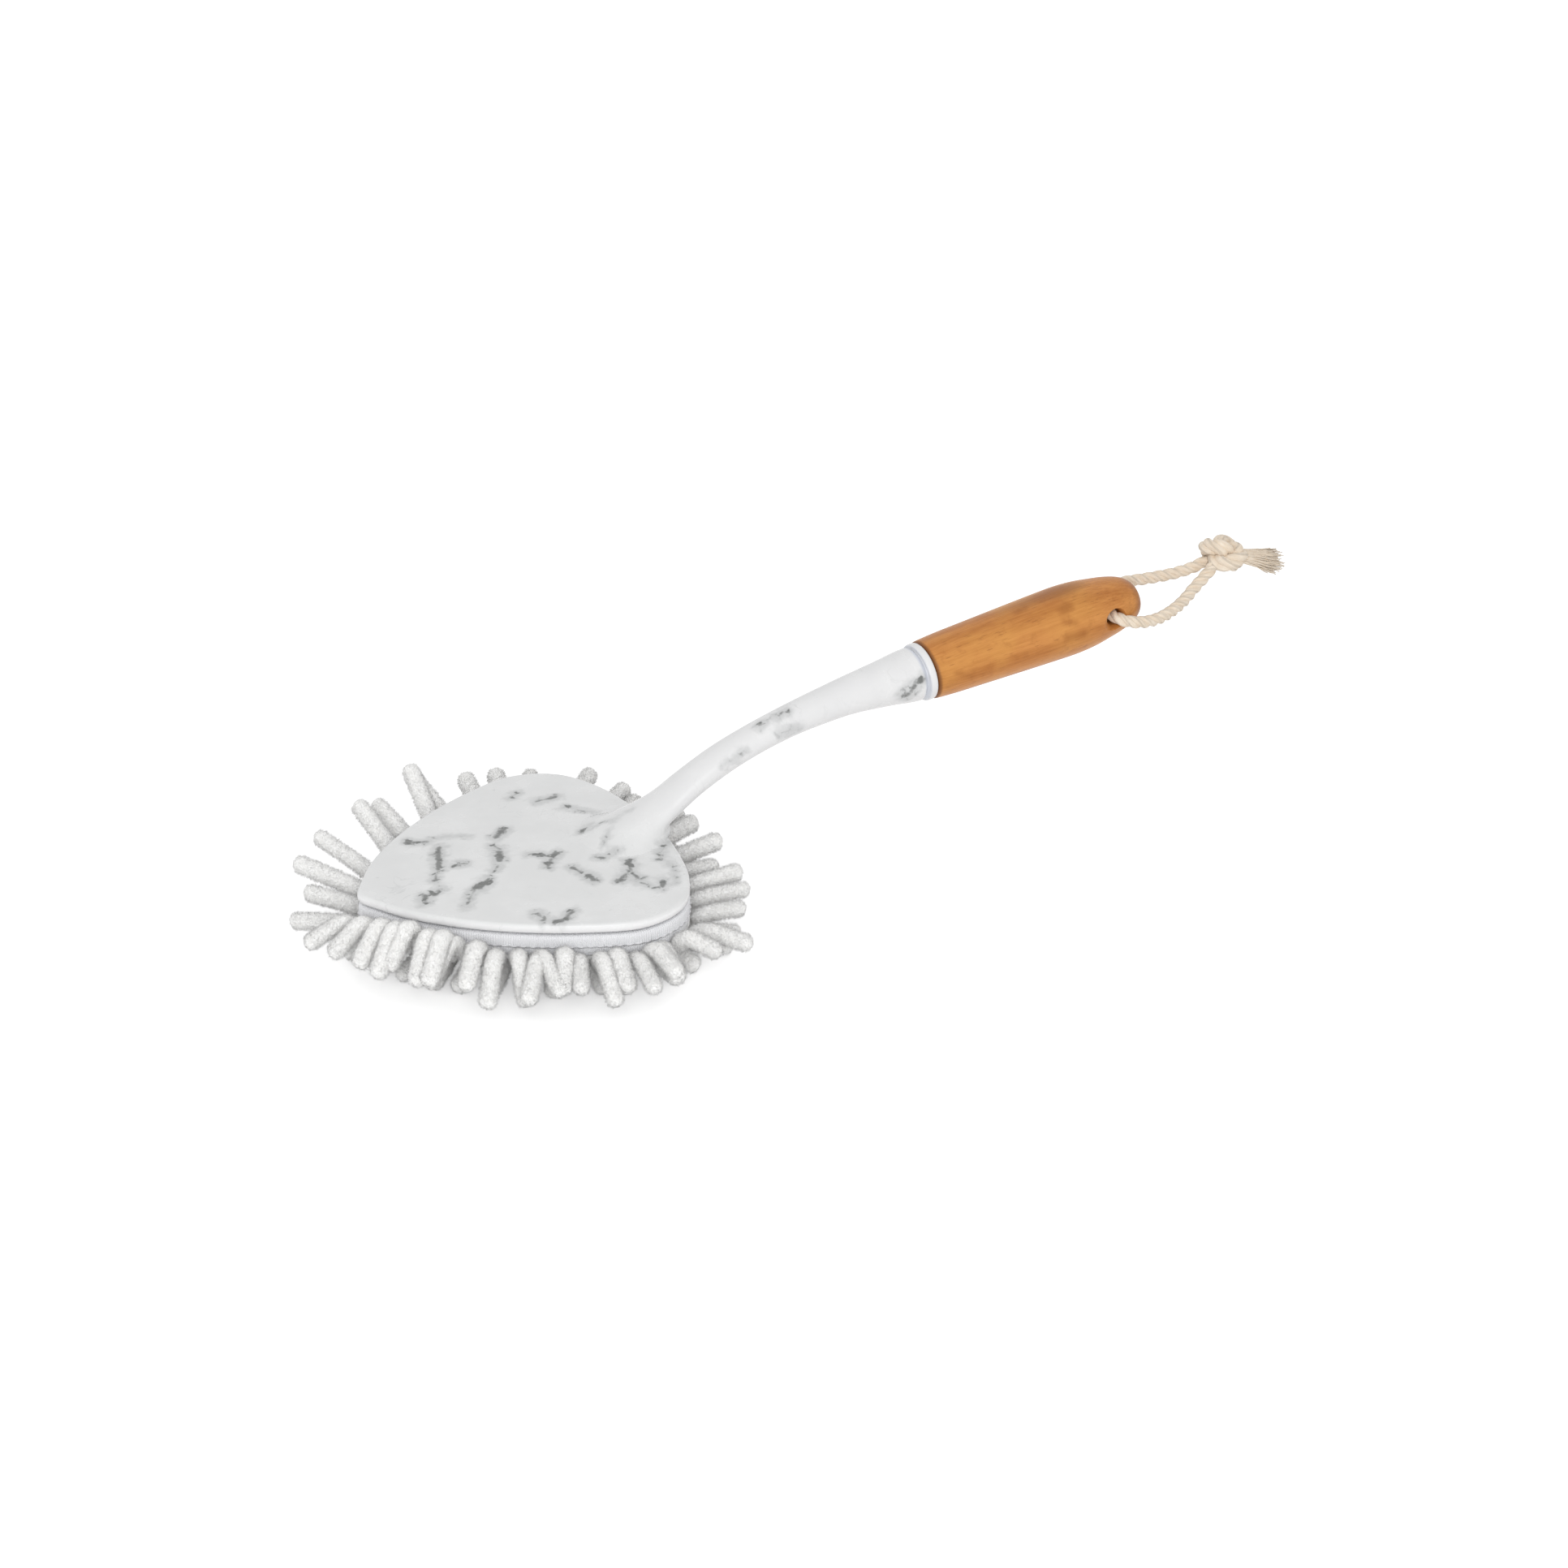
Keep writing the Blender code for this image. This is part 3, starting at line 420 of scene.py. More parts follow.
class Finish(Tree):
    """A material with one Principled shader."""

    def __init__(self, name, roughness, **constants):
        self.material = bpy.data.materials.new(name)
        self.material.use_nodes = True
        super().__init__(self.material.node_tree)
        self.shader = self.node_tree.nodes["Principled BSDF"]
        self.shader.inputs["Roughness"].default_value = roughness
        for label, value in constants.items():
            self.shader.inputs[label.replace("_", " ")].default_value = value

    def colour(self, value):
        self.fill(self.shader.inputs["Base Color"], value)

    def roughness(self, value):
        self.fill(self.shader.inputs["Roughness"], value)

    def relief(self, height, depth):
        """Bumps, where height is 0 to 1 and depth is in metres."""
        bump = self.node("ShaderNodeBump", {}, Strength=1.0, Distance=depth, Height=height)
        self.fill(self.shader.inputs["Normal"], bump)


# %% [markdown]
# ## Cotton rope
#
# The hanging loop is a twisted cotton rope, about 5 mm thick. Each of its three strands
# is a tube of its own that winds round the rope's middle line. The fibres in a strand are
# too fine to model, so bumps that follow the strand's own map show them.

# %% Finish of soft things, and cotton


def soft_finish(name, roughness, tints, depth, pattern, sheen=0.0, sheen_roughness=0.5):
    """A finish between two tints. pattern gives its tone, from 0 to 1, and its height."""
    finish = Finish(name, roughness, Sheen_Weight=sheen, Sheen_Roughness=sheen_roughness)
    tone, height = pattern(finish, finish.place())
    finish.colour(finish.mix(tone, *tints))
    finish.relief(height, depth)
    return finish.material


def twisted_fibres(finish, place):
    """Fibres that run along the map's first direction; the colour is darker where the relief is
    low.
    """
    fibres = finish.noise(finish.scaled(finish.on_surface(), (500, 4200, 1)), 1, detail=3)
    blotches = finish.noise(place, 260)
    tone = fibres.step(0.3, 0.75) * 0.6 + blotches.step(0.3, 0.8) * 0.4
    return tone, fibres * 0.75 + blotches * 0.25


CREAM = ((0.80, 0.66, 0.50), (0.97, 0.875, 0.75))
cotton = soft_finish("cream_cotton", 0.92, CREAM, 0.35 * MM, twisted_fibres, 0.25)
print("cotton nodes:", len(cotton.node_tree.nodes))

# %% The rope's route
ROPE_RADIUS = 2.5 * MM
ROPE_ROUTE = (
    (0.0519, -0.0029, 0.0098), (0.0469, -0.0034, 0.0056), (0.0410, -0.0048, 0.0020),
    (0.0351, -0.0074, -0.0006), (0.0281, -0.0106, -0.0021), (0.0200, -0.0138, -0.0027),
    (0.0122, -0.0156, -0.0024), (0.0058, -0.0152, -0.0015), (0.0018, -0.0125, -0.0006),
    (0.0004, -0.0075, 0.0), (0.0, 0.0, 0.0), (0.0004, 0.0075, 0.0), (0.0018, 0.0125, 0.0003),
    (0.0060, 0.0152, 0.0006), (0.0125, 0.0156, 0.0012), (0.0218, 0.0136, 0.0020),
    (0.0312, 0.0102, 0.0032), (0.0398, 0.0066, 0.0049), (0.0468, 0.0040, 0.0072),
    (0.0520, 0.0029, 0.0096),
)

# %% Three strands round a line
STRAND_PITCH = 13 * MM
STRANDS = 3
STRAND_SHARE = 0.54


def strands(path, across, radius, sides=12):
    """Rings of the strands of a twisted rope, with the distance along each.

    A strand's radius is a share of the rope's, and strand k's middle lies the rest of that
    radius from the rope's own, at the angle 2 pi (distance / pitch + k / 3).
    """
    distance = run_of(path)
    side, lift = square_to(unit(np.gradient(path, axis=0)), across)
    turn = TAU * (distance[None] / STRAND_PITCH + np.arange(STRANDS)[:, None] / STRANDS)
    winding = np.cos(turn)[..., None] * side + np.sin(turn)[..., None] * lift
    middles = path + (1 - STRAND_SHARE) * radius * winding
    thick = np.full((STRANDS, len(path), 1), STRAND_SHARE * radius)
    return sweep(middles, winding, thick, sides), distance


def strand_map(piece, distance, sides, radius):
    """Fibres follow each strand: metres along it and metres round it, its two poles last."""
    along = np.broadcast_to(distance[None, :, None], (STRANDS, len(distance), sides))
    around = np.broadcast_to(np.arange(sides) / sides * TAU * radius * STRAND_SHARE, along.shape)
    ends = np.tile([distance[0], distance[-1]], STRANDS)
    add_map(piece, np.append(along, ends), np.append(around, np.zeros(2 * STRANDS)))


# %% The loop
fine_rope = smooth_line(hole + np.array(ROPE_ROUTE), 300)
level = np.array([0.0, 0.0, 1.0])
rings, rope_distance = strands(fine_rope, level, ROPE_RADIUS)
rope = tube_piece("twisted_rope", rings, cotton, "cream_cotton")
strand_map(rope, rope_distance, rings.shape[2], ROPE_RADIUS)
stand_for(rope, "rope_loop", "hang_loop")
print("rope faces:", len(rope.data.polygons))

# %% [markdown]
# An overhand knot in a closed rope is the simplest knot there is: a line that goes twice
# round a ring while it winds three times through it. Drawn tight, the rope fills its
# middle. The knot here is that line with the same three strands.

# %% The knot
KNOT_PLACE = np.array([0.0580, 0.0, 0.0124])
KNOT_RING_RADIUS = 4.5 * MM
KNOT_TWIST_RADIUS = 2.8 * MM
KNOT_ROPE_RADIUS = 3.4 * MM
KNOT_LIE = math.radians(9)
KNOT_TURN = math.radians(28)
TAIL_DROP = math.radians(18)


def turned(points, axis, angle):
    """Points turned about one of the axes 0, 1 and 2 by the right-hand rule."""
    first, second = [(1, 2), (2, 0), (0, 1)][axis]
    a, b = points[..., first], points[..., second]
    found = points.copy()
    found[..., first] = a * math.cos(angle) - b * math.sin(angle)
    found[..., second] = a * math.sin(angle) + b * math.cos(angle)
    return found


def knot_line(count):
    """The knot's middle line and its outward side.

    The line lies R + r cos 3t from the middle, at the angle 2t, and r sin 3t high.
    """
    t = np.linspace(0, TAU, count)
    found = []
    for ring, twist in ((KNOT_RING_RADIUS, KNOT_TWIST_RADIUS), (0, 1)):
        out = ring + twist * np.cos(3 * t)
        points = np.stack([out * np.cos(2 * t), out * np.sin(2 * t), twist * np.sin(3 * t)], axis=1)
        for axis, angle in ((2, KNOT_TURN), (0, KNOT_LIE), (1, TAIL_DROP)):
            points = turned(points, axis, angle)
        found.append(points)
    return found


knot_path, knot_side = knot_line(360)
rings, knot_distance = strands(knot_path + hole + KNOT_PLACE, knot_side, KNOT_ROPE_RADIUS)
knot = tube_piece("overhand_knot", rings, cotton, "cream_cotton")
strand_map(knot, knot_distance, rings.shape[2], KNOT_ROPE_RADIUS)
stand_for(knot, "rope_knot", "hang_loop")
print("knot size, mm:", (np.ptp(rings.reshape(-1, 3), axis=0) / MM).round(1))

# %% [markdown]
# Past the knot the rope is left to fray. Its strands open into yarns that fan out, each
# with a little wave of its own.

# %% The frayed end
TAIL_START = np.array([0.0630, 0.0, 0.0110])
TAIL_LENGTH = 23 * MM
TAIL_ROOT_RADIUS = 2.8 * MM
TAIL_END_RADIUS = 6.0 * MM
YARNS = 230
YARN_RADIUS = 0.40 * MM
YARN_SIDES = 5
YARN_STRAY = 0.35 * MM


def yarn_lines(stations=14):
    """Middle lines of the yarns.

    A yarn keeps its angle and its share of the radius, while the bundle's radius grows
    with the distance to the power 1.7, and it strays from its line by two small sines.
    """
    share = np.linspace(0, 1, stations)[None, :]
    angle = chance.uniform(0, TAU, (YARNS, 1))
    out = np.sqrt(chance.uniform(0, 1, (YARNS, 1)))
    long = TAIL_LENGTH * chance.uniform(0.82, 1.0, (YARNS, 1))
    bundle = TAIL_ROOT_RADIUS + (TAIL_END_RADIUS - TAIL_ROOT_RADIUS) * share**1.7
    phase = chance.uniform(0, TAU, (YARNS, 2))
    stray = YARN_STRAY * share
    side = out * bundle * np.cos(angle) + stray * np.sin(9 * share + phase[:, :1])
    lift = out * bundle * np.sin(angle) + stray * np.sin(11 * share + phase[:, 1:])
    line = np.stack([long * share, side, lift * 0.85], axis=-1)
    return turned(line, 1, TAIL_DROP) + hole + TAIL_START


yarns = yarn_lines()
taper = np.linspace(1, 0.45, yarns.shape[1])[None, :, None]
rings = sweep(yarns, level, YARN_RADIUS * taper, YARN_SIDES)
frayed = tube_piece("frayed_yarns", rings, cotton, "cream_cotton")
tail_share = np.linspace(0, TAIL_LENGTH, yarns.shape[1])[None, :, None]
tail_share = np.broadcast_to(tail_share, rings.shape[:3])
tail_round = np.arange(YARN_SIDES) / YARN_SIDES * TAU * YARN_RADIUS
tail_round = np.broadcast_to(tail_round, rings.shape[:3])
ends = np.zeros(2 * YARNS)
add_map(frayed, np.append(tail_share, ends), np.append(tail_round, ends))
stand_for(frayed, "rope_frayed_end", "hang_loop")
print("frayed end, mm:", (np.ptp(rings.reshape(-1, 3), axis=0) / MM).round(1))

# %% [markdown]
# ## The head's outline
#
# The head is a triangle with a broad rear, bulging sides and a rounded tip. Its outline is
# a smooth closed line through a few knots, each a share of the length and of half the
# width. The plate, the band and both rings of noodles follow it.

# %% Outline
OUTLINE_SHARES = (
    (0.0, 0.0), (0.010, 0.276), (0.052, 0.627), (0.140, 0.900), (0.290, 1.0), (0.460, 0.906),
    (0.630, 0.744), (0.780, 0.543), (0.895, 0.332), (0.972, 0.117), (1.0, 0.0),
)
half_outline = np.array(OUTLINE_SHARES) * (-head_length, head_width / 2)
mirrored = half_outline[-2:0:-1] * (1, -1)
outline_knots = np.vstack([half_outline, mirrored]) + (rear, middle)
head_centre = np.array([rear - 0.46 * head_length, middle])


def outline(inset, count, turn=0.0):
    """The outline drawn in towards the head's centre, by inset at its widest place."""
    line = smooth_line(outline_knots, 8 * count, closed=True, space=2)
    line = np.roll(line, -round(8 * turn), axis=0)[::8]
    return head_centre + (line - head_centre) * (1 - inset / (head_width / 2))


def ring_at(line, height):
    """The points of a flat line at one height."""
    return np.column_stack([line, np.full(len(line), height)])


def outwards(line, fan=0.0):
    """The outward direction at each point of a closed line, fanned out by a share.

    With a share f it is the unit of n (1 - f) + c f, where n is the line's normal and c
    points away from the head's centre.
    """
    along = np.roll(line, -1, axis=0) - np.roll(line, 1, axis=0)
    normal = unit(np.stack([along[:, 1], -along[:, 0]], axis=1))
    away = unit(line - head_centre)
    normal *= np.sign((normal * away).sum(axis=1, keepdims=True))
    return unit(normal * (1 - fan) + away * fan)


print("outline length, mm:", round(length_of(outline(0, 200)) / MM))

# %% [markdown]
# ## Chenille noodles
#
# A noodle is a finger of chenille: a core with short soft pile all round, closed at its
# tip. Its surface is neither smooth nor hairy. It is a dense velvet with small tufts, and
# the pile catches light at the edge. Each noodle is a swept tube with a lumpy radius, and
# thousands of fine pointed fibres stand on it.

# %% Chenille finish


def tufted(finish, place):
    """Tufts a millimetre apart, a little darker and warmer between them."""
    fuzz = finish.noise(place, 2600, detail=3)
    hollow = (finish.cells(place, 950).step(0.75, 0.2) * 0.6 + fuzz * 0.4).step(0.1, 0.75)
    return hollow, hollow * 0.7 + fuzz * 0.3


WHITE_PILE = ((0.95, 0.945, 0.93), (0.985, 0.983, 0.975))
chenille = soft_finish("white_chenille", 1.0, WHITE_PILE, 0.25 * MM, tufted, 0.15, 0.6)
print("chenille nodes:", len(chenille.node_tree.nodes))

# %% One noodle after another
NOODLE_RADIUS = 2.95 * MM
PILE_LENGTH = 1.4 * MM
FIBRE_RADIUS = 0.065 * MM
FIBRES_IN_A_PIECE = 60000
FIBRE_TILT = 0.45
GROUND_GAP = 0.1 * MM
# Lumps on a noodle: their length in mm, and how many stand round it.
LUMPS = ((2.1, 2), (3.3, -3), (1.4, 1), (5.2, 4))
LUMP_SHARE = 0.022


def noodle_rings(lines, across, sides, thickness=NOODLE_RADIUS):
    """Rings of noodles with thin roots, lumpy sides and round tips.

    Along a noodle of length L, the radius grows from the root as the line's own share
    says, and closes over its last radius R as the root of 1 - ((s - L + R) / R)^2. The
    lumps are sines of the distance and the angle.
    """
    count, stations = lines.shape[:2]
    paths = lines[..., :3]
    distance = run_of(paths)
    long = distance[:, -1:]
    closing = np.clip((distance - long + thickness) / thickness, 0, 1)
    tip = np.sqrt(np.clip(1 - closing**2, 0.0025, 1))
    angle = TAU * np.arange(sides) / sides
    lumps = np.zeros((count, stations, sides))
    for wave, turns in LUMPS:
        phase = chance.uniform(0, TAU, (count, 1, 1))
        lumps += np.sin(TAU * distance[..., None] / (wave * MM) + turns * angle + phase)
    fuller = chance.uniform(0.93, 1.12, (count, 1, 1))
    radius = thickness * fuller * (lines[..., 3] * tip)[..., None] * (1 + LUMP_SHARE * lumps)
    rings = sweep(paths, across, radius, sides)
    rings[..., 2] = np.maximum(rings[..., 2], GROUND_GAP)
    return rings


def pile(rings, count):
    """Fine pointed fibres that stand on noodles, as (points, faces).

    A fibre is a three-sided spike. It stands at a random place on the surface and leans
    away from the noodle's middle line with a random tilt.
    """
    tubes, stations, sides = rings.shape[:3]
    middles = rings.mean(axis=2, keepdims=True)
    tube = chance.integers(0, tubes, count)
    station = chance.integers(3, stations, count)
    side = chance.integers(0, sides, count)
    slide = chance.uniform(0, 1, (count, 1))
    here = rings[tube, station, side]
    base = here * (1 - slide) + rings[tube, station, (side + 1) % sides] * slide
    base += (rings[tube, station - 1, side] - here) * chance.uniform(0, 1, (count, 1))
    lean = unit(base - middles[tube, station, 0])
    tilt = chance.normal(0, FIBRE_TILT, (count, 3))
    tip = base + unit(lean + tilt) * (PILE_LENGTH * chance.uniform(0.5, 1.0, (count, 1)))
    across = unit(np.cross(lean, tilt))
    third = unit(np.cross(lean, across))
    corners = [math.cos(a) * across + math.sin(a) * third for a in (0, TAU / 3, 2 * TAU / 3)]
    points = np.stack([*(base + FIBRE_RADIUS * corner for corner in corners), tip], axis=1)
    points[..., 2] = np.maximum(points[..., 2], GROUND_GAP / 2)
    first = 4 * np.arange(count)[:, None]
    faces = np.concatenate([first + (0, 1, 3), first + (1, 2, 3), first + (2, 0, 3)])
    return points.reshape(-1, 3), [faces]


def noodle_piece(name, lines, across, fibres, sides, node, tape):
    """Noodles with their tape, and their pile, as pieces that stand for one CAD node.

    A pile of many fibres is split, so that no piece has more than its share of faces.
    """
    rings = noodle_rings(lines, across, sides)
    made = [("noodles_" + name, join_arrays([closed_tubes(rings), tape]))]
    shares = math.ceil(fibres / FIBRES_IN_A_PIECE)
    made += [(f"pile_{name}_{share}", pile(rings, fibres // shares)) for share in range(shares)]
    for title, (points, faces) in made:
        piece = new_piece(title, points, faces, chenille, "white_chenille")
        stand_for(piece, node, "pad")


# %% [markdown]
# ### Two rings of noodles
#
# The outer ring leaves its tape under the band, dips just enough to clear it, and then
# stands out nearly level. On the far side its tips rise and at the far front corner they
# reach furthest, as the photograph shows. Near the tip of the head they arch up over the
# band. The inner ring ends on the ground, and lies long on it behind the head, where the
# grip's weight comes down.

# %% How the rings lie
RING_COUNT = 33
TAPE_THICKNESS = 1.0 * MM
TAPE_WIDTH = 5.8 * MM
FAN_SHARE = 0.45
FRINGE_INSET = 3.1 * MM
FRINGE_LENGTH = 28.5 * MM
FRINGE_DIP = 1.6 * MM
FRINGE_TIP_HEIGHT = 14.5 * MM
FRINGE_TURN_UP = 17.5 * MM
FRINGE_DROP = 3.5 * MM
FRINGE_ARCH = 11.0 * MM
FRINGE_NEAR_LIFT = 5.6 * MM
SKIRT_INSET = 10.7 * MM
SKIRT_LENGTH = 17.2 * MM
SKIRT_REAR_SAG = 3.6 * MM
LYING_TIP_HEIGHT = 3.4 * MM
NOODLE_BEND = 1.6 * MM
RING_STATIONS = 44
RING_SIDES = 20
FRINGE_FIBRES = 180000
SKIRT_FIBRES = 60000
# Directions are in degrees, 0 straight back and positive on the far side. What lies
# behind counts in full up to the first angle and fades out over the second.
BEHIND = 30
BEHIND_FADE = 35
CLOSER_SET = (-168, -62)
fringe_tape_top = band_low[2] - GAP
row_tape_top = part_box("noodle_row_05")[1][2]

# Along a noodle: share of its length, of its fall, of the dip, of the sag (an arch where
# it is negative), and of its radius.
FRINGE_SHARES = np.array(
    (
        (0.0, 0.0, 0.0, 0.0, 0.20), (0.11, 0.0, 0.95, 0.0, 0.42), (0.27, 0.05, 1.0, -0.62, 1.0),
        (0.46, 0.32, 0.60, -1.0, 1.0), (0.70, 0.64, 0.30, -0.55, 1.0),
        (0.92, 0.92, 0.0, -0.08, 1.0), (1.0, 1.0, 0.0, 0.0, 1.0),
    )
)
SKIRT_SHARES = np.array(
    (
        (0.0, 0.0, 0.0, 0.0, 0.50), (0.05, 0.20, 0.0, 0.20, 0.95), (0.15, 0.42, 0.0, 0.75, 1.0),
        (0.35, 0.66, 0.0, 1.0, 1.0), (0.85, 0.93, 0.0, 0.10, 1.0), (1.0, 1.0, 0.0, 0.0, 1.0),
    )
)


def noodle_knots(roots, directions, reach, root_height, tip_height, sag, shares):
    """Knots (x, y, z, radius share) of several noodles, from their tape to their tips.

    A knot lies the reach times its share from the root, and its height goes from the
    root's to the tip's by its share of the fall, less its shares of the dip and the sag.
    Each noodle also bends sideways, by a random length times the square of the share.
    """
    out, fall, dip, sagging, radius = shares.T
    flat = roots[:, None] + directions[:, None] * (reach[:, None] * out)[..., None]
    sideways = np.stack([-directions[:, 1], directions[:, 0]], axis=1)
    flat += sideways[:, None] * (chance.normal(0, NOODLE_BEND, (len(roots), 1)) * out**2)[..., None]
    height = root_height + (tip_height - root_height)[:, None] * fall
    height = height - FRINGE_DIP * dip - sag[:, None] * sagging
    wide = np.broadcast_to(radius, height.shape)
    return np.concatenate([flat, height[..., None], wide[..., None]], axis=-1)


def noodle_lines(knots, stations):
    return np.stack([smooth_line(some, stations) for some in knots])


# %% The two rings


def spread_a_little(directions, amount):
    """Directions turned by small uneven angles."""
    angle = chance.normal(0, amount, len(directions))
    x = directions[:, 0] * np.cos(angle) - directions[:, 1] * np.sin(angle)
    y = directions[:, 0] * np.sin(angle) + directions[:, 1] * np.cos(angle)
    return np.stack([x, y], axis=1)


def ring_of_tape(inset, top, count=180):
    """A closed band of tape that follows the outline, as (points, faces)."""
    half, low = TAPE_WIDTH / 2, top - TAPE_THICKNESS
    corners = ((-half, top), (half, top), (half, low), (-half, low))
    lines = [ring_at(outline(inset + inwards, count), height) for inwards, height in corners]
    return np.stack(lines, axis=1), [tube_faces(1, count, 4, closed=True)]


def hump(turn, at, width):
    """exp(-d^2), where d is how many widths a direction lies from this one, in degrees."""
    return np.exp(-(((turn - at) / width) ** 2))


def ring_of_noodles(name, inset, shift, top, shares, unruly, pose, fibres, node, doubled=(0, 0)):
    """A ring of noodles on its tape. pose turns angles into reaches, tip heights and sags.

    Where a direction's angle is in the doubled range, noodles stand at half the pitch.
    """
    roots = outline(inset, 2 * RING_COUNT, turn=2 * shift)
    out = outwards(roots, FAN_SHARE)
    turn = np.degrees(np.arctan2(out[:, 1], out[:, 0]))
    kept = (np.arange(2 * RING_COUNT) % 2 == 0) | ((turn > doubled[0]) & (turn < doubled[1]))
    roots, out, turn = roots[kept], out[kept], turn[kept]
    aside = np.clip((np.abs(turn) - BEHIND) / BEHIND_FADE, 0, 1)
    reach, tips, sag = pose(turn, 1 - aside * aside * (3 - 2 * aside))
    height = top - TAPE_THICKNESS / 2
    knots = noodle_knots(roots, spread_a_little(out, unruly), reach, height, tips, sag, shares)
    across = np.column_stack([-out[:, 1], out[:, 0], np.zeros(len(out))])[:, None]
    lines = noodle_lines(knots, RING_STATIONS)
    noodle_piece(name, lines, across, fibres, RING_SIDES, node, ring_of_tape(inset, top))
    print(name, "noodles:", len(out))


def fringe_pose(turn, behind):
    """High and long at the far front corner, low on the near side, and arched in front."""
    tips = FRINGE_TIP_HEIGHT + FRINGE_TURN_UP * hump(turn, 118, 25)
    tips -= FRINGE_DROP * hump(turn, -112, 45)
    tips += chance.normal(0.8 * MM, 2.2 * MM, len(turn))
    reach = FRINGE_LENGTH * (1 + 0.13 * hump(turn, 150, 24) - 0.10 * behind)
    arch = FRINGE_ARCH * hump(turn, -146, 26) + FRINGE_NEAR_LIFT * hump(turn, -88, 42)
    arch += chance.normal(0, 1.0 * MM, len(turn)) * hump(turn, -110, 50)
    return reach * chance.uniform(0.80, 1.06, len(turn)), tips, arch


def skirt_pose(turn, behind):
    """Short and down to the ground, and long behind the head."""
    reach = SKIRT_LENGTH * (1 + 0.70 * behind) * chance.uniform(0.93, 1.03, len(turn))
    return reach, np.full(len(turn), LYING_TIP_HEIGHT), SKIRT_REAR_SAG * behind


# The noodles start a chance of their own, so that a change to the rope leaves them alone.
chance = np.random.default_rng(68)
fringe = ("fringe", FRINGE_INSET, 0, fringe_tape_top, FRINGE_SHARES, 0.17, fringe_pose)
ring_of_noodles(*fringe, FRINGE_FIBRES, "noodle_fringe", doubled=CLOSER_SET)
skirt = ("skirt", SKIRT_INSET, 0.5, row_tape_top, SKIRT_SHARES, 0.13, skirt_pose)
ring_of_noodles(*skirt, SKIRT_FIBRES, "noodle_skirt")

# %% [markdown]
# ### Rows under the pad
#
# The middle of the pad carries straight rows, sewn on with one tape each. Their noodles
# stand on the ground, spread a little at their tips, and are seen from below only.

# %% Rows
ROW_INSET = 20.5 * MM
ROW_PITCH = 9.2 * MM
ROW_NOODLE_PITCH = 9.4 * MM
ROW_SPREAD = 0.18
ROW_TAPE_WIDTH = 7 * MM
ROW_TIP_HEIGHT = 2.6 * MM
ROW_STATIONS = 24
ROW_SIDES = 16
FIBRES_ON_A_ROW_NOODLE = 500
ROW_SHARES = np.array(
    (
        (0.0, 0.0, 0.0, 0.0, 0.60), (0.04, 0.14, 0.0, 0.0, 1.0), (0.5, 0.55, 0.0, 0.0, 1.0),
        (1.0, 1.0, 0.0, 0.0, 1.0),
    )
)


def row_box(low, high, top):
    """A flat strip of tape, as (points, faces)."""
    heights = (top - TAPE_THICKNESS, top)
    corners = [(x, y, z) for x in (low[0], high[0]) for y in (low[1], high[1]) for z in heights]
    ends, sides = [(0, 1, 3, 2), (4, 6, 7, 5)], [(0, 4, 5, 1), (2, 3, 7, 6)]
    return np.array(corners), [np.array([*ends, *sides, (0, 2, 6, 4), (1, 5, 7, 3)])]


rows = sorted(name for name in frame["nodes"] if name.startswith("noodle_row"))
inner = outline(ROW_INSET, 288)
first = (inner[:, 0].min() + inner[:, 0].max() - (len(rows) - 1) * ROW_PITCH) / 2
for row, name in enumerate(rows):
    x = first + row * ROW_PITCH
    half_width = (inner[np.abs(inner[:, 0] - x) < ROW_PITCH / 4, 1] - middle).max()
    half_count = int(half_width / ROW_NOODLE_PITCH)
    y = middle + np.arange(-half_count, half_count + 1) * ROW_NOODLE_PITCH
    roots = np.column_stack([np.full(len(y), x), y])
    spread = (roots - head_centre) * ROW_SPREAD
    reach = np.linalg.norm(spread, axis=1)
    directions = spread / np.maximum(reach, MM / 100)[:, None]
    tips, no_sag = np.full(len(y), ROW_TIP_HEIGHT), np.zeros(len(y))
    height = row_tape_top - TAPE_THICKNESS / 2
    knots = noodle_knots(roots, directions, reach, height, tips, no_sag, ROW_SHARES)
    across = np.broadcast_to(np.array([0.0, 1.0, 0.0]), (len(y), 1, 3))
    half = ROW_TAPE_WIDTH / 2
    tape = row_box((x - half, y[0] - half), (x + half, y[-1] + half), row_tape_top)
    fibres = FIBRES_ON_A_ROW_NOODLE * len(y)
    lines = noodle_lines(knots, ROW_STATIONS)
    noodle_piece(f"row_{name[-2:]}", lines, across, fibres, ROW_SIDES, name, tape)
print("rows:", len(rows))

# %% [markdown]
# ## The pad
#
# The pad is foam between two cloths: loop cloth on top, which the head's hook tape grips,
# and a woven base cloth below. A folded knit band closes the edge and is stitched through.
# The foam pushes the cloths out a little, so the pad is slightly crowned.

# %% Cloth finishes
BASE_WHITE = (0.84, 0.84, 0.83)
THREAD_WHITE = (0.88, 0.88, 0.90)


def plain_weave(name, tint, thread, depth):
    """A plain weave: two crossing sines of Object coordinates, with soft blotches."""

    def pattern(finish, place):
        x, y, _ = finish.parts(place)
        weave = (x * (TAU / thread)).wave() * (y * (TAU / thread)).wave() * 0.5 + 0.5
        return weave * 0.55 + finish.noise(place, 180, detail=3) * 0.45, weave

    return soft_finish(name, 0.95, (tuple(c * 0.82 for c in tint), tint), depth, pattern, 0.3)


def curled(finish, place):
    """Loop cloth: a felt of tiny curls."""
    curls = finish.cells(place, 1100, "SMOOTH_F1").step(0.6, 0.1)
    tone = curls * 0.6 + finish.noise(place, 2200, detail=3) * 0.4
    return tone, tone


